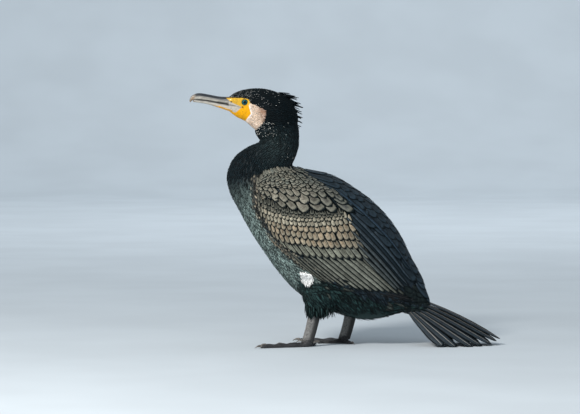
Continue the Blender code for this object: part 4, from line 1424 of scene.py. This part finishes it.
def make_bill():
    def upper(share, angle):
        points = section_points(BILL_UPPER, share * (len(BILL_UPPER) - 1), angle)
        turn = np.abs(np.degrees(angle))
        groove = np.exp(-((turn - GROOVE_ANGLE) / GROOVE_WIDTH) ** 2)
        groove = groove * smooth_step(0.02, 0.12, share) * (1 - smooth_step(0.66, 0.8, share))
        points[:, 1] -= np.sign(points[:, 1]) * groove * GROOVE_DEPTH * MM
        points[:, 2] -= groove * GROOVE_DROP * MM
        return points

    def lower(share, angle):
        points = section_points(BILL_LOWER, share * (len(BILL_LOWER) - 1), angle)
        points[:, 2] += np.maximum(np.cos(angle), 0) * 1.5 * MM * (1 - smooth_step(0.9, 1, share))
        return points

    top = drawn_tube("bill_upper_horn", upper, 120, 64)
    low = drawn_tube("bill_lower_horn", lower, 110, 48)
    for obj, table in ((top, BILL_UPPER), (low, BILL_LOWER)):
        p = points_of(obj) / MM
        rows = np.array(table, float)
        order = np.argsort(-rows[:, 0])
        spots = -rows[order][:, 0]
        belly = np.interp(-p[:, 0], spots, rows[order][:, 1])
        back = np.interp(-p[:, 0], spots, rows[order][:, 3])
        height = (p[:, 2] - belly) / np.maximum(back - belly, 0.5)
        forward = smooth_step(-200, -246, p[:, 0])
        hook = smooth_step(-243, -250, p[:, 0])
        if obj is top:
            colour = mix(BILL_PALE, BILL_GREY, smooth_step(0.34, 0.5, height) * (1 - 0.5 * forward))
            colour = mix(colour, CULMEN_BLUE, smooth_step(0.54, 0.66, height) * (1 - 0.9 * hook))
            colour = mix(colour, BILL_EDGE, (1 - smooth_step(0.05, 0.14, height)) * (1 - hook))
            colour = mix(colour, HOOK_BROWN, hook * (1 - smooth_step(0.75, 0.95, height) * 0.8))
            colour = mix(colour, LORE_YELLOW, within(p[:, (0, 2)], LORES, 0.7))
        else:
            colour = mix(BILL_PALE, LOWER_GREY, smooth_step(0.55, 0.9, height) * 0.7)
            orange = (1 - smooth_step(0.22, 0.42, height)) * (1 - smooth_step(-205, -218, p[:, 0]))
            colour = mix(colour, THROAT_ORANGE, orange)
            colour = mix(colour, THROAT_ORANGE, within(p[:, (0, 2)], THROAT, 0.7))
            colour = mix(colour, LOWER_HOOK, hook)
            colour = mix(colour, LOWER_EDGE, smooth_step(0.84, 0.96, height))
        add_colour(obj, colour)
        shade_smooth(obj)
    return top, low


def horn_material():
    material, tree, shader = new_material("bill_horn", 0.38, 0.5, 0.15)
    tint = attribute(tree, "tint")
    streak = noise(tree, 260, 4.0, (0.35, 1.0, 2.6))
    shade = ramp(tree, streak, 0.32, 0.7, 0.62, 1.15)
    speck = ramp(tree, noise(tree, 1500, 2.0), 0.60, 0.70, 0.0, 0.55)
    colour = blended(tree, speck, brightened(tree, tint, shade), HORN_SPECK)
    tree.links.new(colour, shader.inputs["Base Color"])
    raised(tree, shader, streak, 0.35, 0.4)
    return material


# eyes
def make_eye(side):
    bpy.ops.object.select_all(action="DESELECT")
    centre = Vector((EYE[0], side * EYE[1], EYE[2])) * MM
    bpy.ops.mesh.primitive_uv_sphere_add(segments=64, ring_count=48, radius=EYE_RADIUS * MM)
    obj = bpy.context.object
    obj.name = "eyeball_left" if side < 0 else "eyeball_right"
    co = points_of(obj)
    co = np.stack([co[:, 0], co[:, 2] * side, co[:, 1]], 1)
    away = np.hypot(co[:, 0], co[:, 2]) / MM
    front = co[:, 1] * side > 0
    colour = mix(IRIS_DEEP, IRIS_LIGHT, smooth_step(2.2, 3.6, away))
    spokes = np.sin(np.arctan2(co[:, 2], co[:, 0]) * 23) * 0.5 + 0.5
    colour = colour * (0.75 + 0.45 * spokes[:, None])
    colour = mix(colour, PUPIL_BLACK, 1 - smooth_step(PUPIL_RADIUS - 0.2, PUPIL_RADIUS + 0.2, away))
    colour = mix(colour, IRIS_EDGE, smooth_step(IRIS_RADIUS - 0.4, IRIS_RADIUS, away))
    bulge = np.where(front, np.exp(-((away / 3.6) ** 2)) * 0.5, 0)
    co[:, 1] += side * bulge * MM
    move_points(obj, co + np.array(centre))
    obj.data.update()
    face_outwards(obj)
    add_colour(obj, colour)
    return shade_smooth(obj)


def eye_material():
    material, tree, shader = new_material("eye", 0.12, 0.15, 0.2)
    tint = attribute(tree, "tint")
    shade = ramp(tree, noise(tree, 1400, 3.0), 0.3, 0.7, 0.8, 1.25)
    tree.links.new(brightened(tree, tint, shade), shader.inputs["Base Color"])
    return material


def make_lid(side):
    """A beaded ring of bare skin round the eye."""
    bpy.ops.object.select_all(action="DESELECT")
    bpy.ops.mesh.primitive_torus_add(major_radius=LID_RADIUS * MM, minor_radius=LID_HALF * MM,
                                     major_segments=96, minor_segments=16)
    obj = bpy.context.object
    obj.name = "lid_left" if side < 0 else "lid_right"
    co = points_of(obj)
    turn = np.arctan2(co[:, 1], co[:, 0])
    ring = np.stack([np.cos(turn), np.sin(turn)], 1) * LID_RADIUS * MM
    off = co[:, :2] - ring
    beads = 1 + 0.16 * np.sin(turn * LID_BEADS)[:, None]
    flat = ring + off * beads
    out = np.stack([flat[:, 0] * 1.04, side * (EYE[1] + LID_OUT) * MM + side * co[:, 2] * beads[:, 0] * 0.9,
                    flat[:, 1] * 0.94], 1)
    out += np.array((EYE[0], 0, EYE[2])) * MM
    move_points(obj, out)
    face_outwards(obj)
    inner = np.hypot(off[:, 0], off[:, 1]) * np.sign((off * ring).sum(1)) / MM
    colour = mix(LID_DARK, LORE_YELLOW, smooth_step(-0.1, 0.5, inner))
    add_colour(obj, colour)
    add_value(obj, "bare", np.ones(len(co)))
    return shade_smooth(obj)


# legs and feet
SCUTES = 17
SCUTE_DEPTH = 0.35
SOLE = 0.4
SOLE_LEAST = 0.1


def shank(name, centre):
    def point_at(share, angle):
        u = share * (len(TARSUS) - 1)
        points = section_points(TARSUS, u, angle, 0.0, centre)
        scute = np.maximum(0, np.sin(share * math.pi * 2 * SCUTES)) ** 0.5
        front = smooth_step(100, 150, np.abs(np.degrees(angle)))
        points[:, 0] -= scute * front * SCUTE_DEPTH * MM
        return points

    return drawn_tube(name, point_at, 140, 36)


def ball(name, centre, radius, squash=1.0):
    bpy.ops.object.select_all(action="DESELECT")
    bpy.ops.mesh.primitive_ico_sphere_add(subdivisions=3, radius=radius * MM)
    obj = bpy.context.object
    obj.name = name
    co = points_of(obj) * (1, 1, squash) + np.array(centre) * MM
    move_points(obj, co)
    return obj


def toe_line(angle, length):
    turn = math.radians(angle)
    return np.array([-math.cos(turn), math.sin(turn), 0]) * length


def make_foot():
    """The left foot's toes and webs as one smooth skin, flat under the pads, and its claws."""
    hub = np.array([ANKLE[0], -LEG_SPREAD, 0.0])
    pieces = [ball("heel", hub + (0, 0, 7.5), 7)]
    tips = []
    claws = []
    for number, (angle, length, claw, radius) in enumerate(TOES):
        ahead = toe_line(angle, 1)
        side = np.array([-ahead[1], ahead[0], 0])

        def point_at(share, turn, ahead=ahead, side=side, length=length, radius=radius):
            thick = radius * np.interp(share, (0, 0.33, 0.66, 0.96, 1), (1, 0.82, 0.68, 0.56, 0.34))
            knuckle = 1 + 0.13 * np.cos(share * 2 * math.pi * 3.2) + 0.02 * np.sin(share * 140)
            thick = thick * knuckle
            middle = hub + np.outer(share * length, ahead)
            middle[:, 2] = thick * 0.72
            out = middle + np.outer(np.cos(turn) * thick, side)
            out[:, 2] += np.sin(turn) * thick
            return out * MM

        pieces.append(drawn_tube(f"toe_{number}", point_at, 60, 24))
        tips.append(hub + ahead * length * 0.94)
        claws.append((hub + ahead * (length - 2.0), ahead, side, claw + 2.0, radius * 0.5))
    for first, second in zip(tips, tips[1:]):
        pieces.append(make_web(hub, first, second))
    foot = remeshed(joined("foot_skin_left", pieces), FOOT_VOXEL, 3)
    co = points_of(foot)
    sole = SOLE * MM
    co[:, 2] = np.where(co[:, 2] < sole, sole + (co[:, 2] - sole) * 0.1, co[:, 2])
    co[:, 2] = np.maximum(co[:, 2], SOLE_LEAST * MM)
    move_points(foot, co)
    claw_pieces = [make_claw(*facts) for facts in claws]
    return foot, joined("claws_left", claw_pieces)


def make_web(hub, first, second):
    """Skin between two toes: drawn in at its free edge and wrinkled along the toes."""
    rings, across = 22, 26
    top = []
    for i in range(rings):
        for j in range(across):
            share = (i + 0.5) / rings
            turn = j / (across - 1)
            edge = 1 - 0.2 * math.sin(math.pi * turn) * share
            spot = hub + ((1 - turn) * (first - hub) + turn * (second - hub)) * share * edge
            ripple = 0.28 * math.sin(turn * math.pi * 7) * math.sin(math.pi * turn) * share
            spot[2] = WEB_THICKNESS + 0.5 + ripple
            top.append(spot * MM)
    low = [p - np.array((0, 0, WEB_THICKNESS * MM)) for p in top]
    faces = []
    size = rings * across
    for i in range(rings - 1):
        for j in range(across - 1):
            a = i * across + j
            faces.append((a, a + 1, a + across + 1, a + across))
            faces.append(tuple(size + k for k in (a, a + across, a + across + 1, a + 1)))
    border = list(range(across)) + [i * across + across - 1 for i in range(1, rings)]
    border += [size - 1 - j for j in range(1, across)] + [i * across for i in range(rings - 2, 0, -1)]
    for a, b in zip(border, border[1:] + border[:1]):
        faces.append((a, a + size, b + size, b))
    return face_outwards(new_object("web", top + low, faces))


def make_claw(root, ahead, side, length, radius):
    def point_at(share, turn):
        thick = radius * (1 - share) ** 0.75 + 0.15
        middle = root + np.outer(share * length, ahead)
        middle[:, 2] = radius * 1.25 + 1.2 * np.sin(share * math.pi) - share ** 2 * radius * 1.0
        out = middle + np.outer(np.cos(turn) * thick * 0.75, side)
        out[:, 2] += np.sin(turn) * thick
        out[:, 2] = np.maximum(out[:, 2], 0.12)
        return out * MM

    return shade_smooth(drawn_tube("claw", point_at, 24, 20))


def leg_material():
    material, tree, shader = new_material("leg_skin", 0.55, 0.4)
    tint = attribute(tree, "tint")
    net = pebbles(tree, 620, "DISTANCE_TO_EDGE")
    gaps = ramp(tree, net, 0.0, 0.12)
    colour = blended(tree, gaps, LEG_CREASE, tint)
    shade = ramp(tree, noise(tree, 380, 3.0), 0.3, 0.7, 0.75, 1.15)
    tree.links.new(brightened(tree, colour, shade), shader.inputs["Base Color"])
    raised(tree, shader, gaps, 0.6, 0.4)
    return material


def foot_material():
    material, tree, shader = new_material("foot_skin", 0.48, 0.5)
    net = pebbles(tree, 520, "DISTANCE_TO_EDGE")
    gaps = ramp(tree, net, 0.0, 0.14)
    colour = blended(tree, gaps, FOOT_CREASE, FOOT_BLACK)
    dust = ramp(tree, noise(tree, 160, 4.0), 0.55, 0.75, 0.0, 0.3)
    colour = blended(tree, dust, colour, FOOT_DUST)
    tree.links.new(colour, shader.inputs["Base Color"])
    raised(tree, shader, gaps, 0.6, 0.35)
    return material


def claw_material():
    material, tree, shader = new_material("claw_horn", 0.35, 0.5)
    shade = ramp(tree, noise(tree, 300, 3.0, (1.0, 1.0, 0.4)), 0.3, 0.7)
    colour = blended(tree, shade, CLAW_DARK, CLAW_PALE)
    tree.links.new(colour, shader.inputs["Base Color"])
    return material


def copied(obj, name, shift_x=0.0):
    """The other side's copy, turned over the middle plane, with a mesh of its own."""
    mesh = obj.data.copy()
    mesh.name = name
    other = added(name, mesh)
    move_points(other, points_of(other) * (1, -1, 1) + (shift_x * MM, 0, 0))
    return face_outwards(other)


def make_legs():
    skin = leg_material()
    foot_skin = foot_material()
    horn = claw_material()
    foot, claws = make_foot()
    near = shank("shank_left", (0, -LEG_SPREAD))
    p = points_of(near) / MM
    belly_side = 1 - smooth_step(0.45, 0.75, (p[:, 0] + 0.27 * (45 - p[:, 2]) + 60.5) / 20)
    add_colour(near, mix(SHANK_DARK, SHANK_PALE, belly_side * smooth_step(6, 16, p[:, 2])))
    near.data.materials.append(skin)
    foot.data.materials.append(foot_skin)
    claws.data.materials.append(horn)
    rows = ((near, "shank_right", "leg_skin", "tarsus"), (foot, "foot_skin_right", "foot_skin", "foot"),
            (claws, "claws_right", "foot_skin", None))
    for obj, name, slot, node in rows:
        shade_smooth(obj)
        other = shade_smooth(copied(obj, name, FAR_LEG_BACK))
        finish_piece(obj, (node + "_left",) if node else ())
        finish_piece(other, (node + "_right",) if node else ())


# stage
FLOOR_SIZE = 17
FLOOR_BACK = 4.4
WALL_HEIGHT = 6
WALL_CURVE = 2.5


def make_stage():
    bpy.ops.object.select_all(action="DESELECT")
    bpy.ops.mesh.primitive_plane_add(size=FLOOR_SIZE, location=(0, 0, 0))
    floor = bpy.context.object
    floor.name = "studio_floor"
    open_with(floor, "EDGE", lambda edge: all(v.co.y > FLOOR_BACK for v in edge.verts))
    bpy.ops.mesh.extrude_region_move(TRANSFORM_OT_translate={"value": (0, 0, WALL_HEIGHT)})
    open_with(floor, "EDGE", lambda edge: all(abs(v.co.z) < 0.01 and v.co.y > FLOOR_BACK for v in edge.verts))
    bpy.ops.mesh.bevel(offset=WALL_CURVE, segments=24)
    bpy.ops.object.mode_set(mode="OBJECT")
    shade_smooth(floor)
    material, tree, shader = new_material("studio_paper", 0.9, 0.2)
    shade = ramp(tree, noise(tree, 3, 2.0), 0.3, 0.7, 0.97, 1.03)
    tree.links.new(brightened(tree, PAPER_BLUE, shade), shader.inputs["Base Color"])
    floor.data.materials.append(material)


def aim(obj, target):
    way = Vector(target) - obj.location
    obj.rotation_euler = way.to_track_quat("-Z", "Y").to_euler()


def add_light(name, location, target, size, power, colour):
    light = bpy.data.lights.new(name, "AREA")
    light.shape = "DISK"
    light.size = size
    light.energy = power
    light.color = colour
    obj = added(name, light)
    obj.location = location
    aim(obj, target)


# name, place, aim, size, power and colour of each light
MIDDLE = (-0.05, 0, 0.24)
LIGHTS = (
    ("key", (-1.7, -2.4, 2.2), MIDDLE, 0.8, 120, (1.0, 0.97, 0.94)),
    ("fill", (1.8, -2.6, 0.9), MIDDLE, 2.4, 8, (0.85, 0.93, 1.0)),
    ("floor_wash", (0.5, 3.6, 4.0), (0, 7.0, 0.6), 3.0, 120, (0.95, 0.97, 1.0)),
)
AIR_COLOUR = (0.80, 0.88, 0.96)
AIR_POWER = 0.45

# the camera's lens and film width, what it points at, its height above level and the width it sees there
LENS = 200
FILM = 36
CAMERA_AIM = (-89, 0, 228)
CAMERA_RISE = 2.5
VIEW_WIDTH = 0.957


def light_and_camera():
    for facts in LIGHTS:
        add_light(*facts)
    world = bpy.data.worlds.new("studio_air")
    world.use_nodes = True
    background = world.node_tree.nodes["Background"]
    background.inputs[0].default_value = AIR_COLOUR + (1.0,)
    background.inputs[1].default_value = AIR_POWER
    bpy.context.scene.world = world
    bpy.context.scene.view_settings.view_transform = "Standard"
    camera = bpy.data.cameras.new("camera")
    camera.lens = LENS
    camera.sensor_width = FILM
    camera.clip_end = 60
    obj = added("camera", camera)
    target = Vector(CAMERA_AIM) * MM
    rise = math.radians(CAMERA_RISE)
    away = VIEW_WIDTH * LENS / FILM
    obj.location = target + Vector((0, -math.cos(rise), math.sin(rise))) * away
    aim(obj, target)
    bpy.context.scene.camera = obj


# putting it together
def main():
    skin = make_skin()
    paint_skin(skin)
    surface = Surface(skin)
    cover_form = form_loft("cover_form", TRUNK, 0.0, 160, 260)
    cover = Surface(cover_form)
    bpy.data.objects.remove(cover_form)
    sides = ("covert_left", "covert_right", "flight_left", "flight_right")
    names = [zone[0] for zone in ZONES] + ["back", "tail"] + list(sides)
    coats = {name: Coat("plumage_" + name) for name in names}
    dress_body(surface, coats)
    dress_thigh_hem(coats["thigh"])
    add_flecks(surface, coats["head"])
    make_crest(coats["head"])
    make_wing(cover, coats)
    dress_back(cover, coats["back"])
    make_tail(coats["tail"])
    dress_tail_root(surface, coats["belly"])

    soft = plumage("soft_plumage", 0.65, 0.5, 0.68, 0.0, 0.7, 0.15, 5)
    fine = plumage("fine_plumage", 0.12, 0.6, 0.7, 0.0, 0.7, 0.2, 5)
    glossy = plumage("glossy_plumage", 0.5, 0.5, 0.7, 0.0, 0.55, 0.12, 5)
    scaled = plumage("covert_plumage", 1.0, 0.58, 0.76, 0.0, 0.6, 0.1, 24, 0.36, 0.3, FRINGE_OLIVE)
    # the flight feathers' wide dark rims are a painted shadow in the gaps between the strips
    long = plumage("flight_plumage", 1.0, 0.46, 0.92, 0.0, 0.55, 0.12, 80, 0.0, 0.5)
    # the back's feathers get the blue band, a painted sheen along their edges
    dark = plumage("back_plumage", 0.95, 0.7, 0.84, 0.0, 0.55, 0.15, 24, 0.6)
    stiff = plumage("tail_plumage", 0.95, 0.68, 0.95, 1.0, 0.5, 0.2, 80)
    facts = (
        ("cheek", fine, "plumage_head", ()),
        ("face", glossy, "plumage_head", ()),
        ("head", glossy, "plumage_head", ()),
        ("neck", glossy, "plumage_neck", ()),
        ("breast", soft, "plumage_body", ()),
        ("belly", soft, "plumage_body", ()),
        ("thigh", soft, "plumage_thigh", ("thigh_left", "thigh_right")),
        ("patch", fine, "plumage_thigh", ()),
        ("back", dark, "plumage_body", ()),
        ("tail", stiff, "plumage_tail", ("tail",)),
        ("covert_left", scaled, "plumage_wing", ("wing_left",)),
        ("covert_right", scaled, "plumage_wing", ("wing_right",)),
        ("flight_left", long, "plumage_wing", ()),
        ("flight_right", long, "plumage_wing", ()),
    )
    for name, finish, slot, replaced in facts:
        coats[name].build(finish, slot, replaced)

    skin_finish = skin_material()
    skin.data.materials.append(skin_finish)
    finish_piece(skin, ("head", "neck_upper", "neck_lower", "torso"))
    horn = horn_material()
    top, low = make_bill()
    for obj, node in ((top, "bill_upper"), (low, "bill_lower")):
        obj.data.materials.append(horn)
        finish_piece(obj, (node,))
    eye_finish = eye_material()
    for side, node in ((-1, "eye_left"), (1, "eye_right")):
        eye = make_eye(side)
        eye.data.materials.append(eye_finish)
        finish_piece(eye, (node,))
        lid = make_lid(side)
        lid.data.materials.append(skin_finish)
        finish_piece(lid)
    make_legs()
    make_stage()
    light_and_camera()


main()
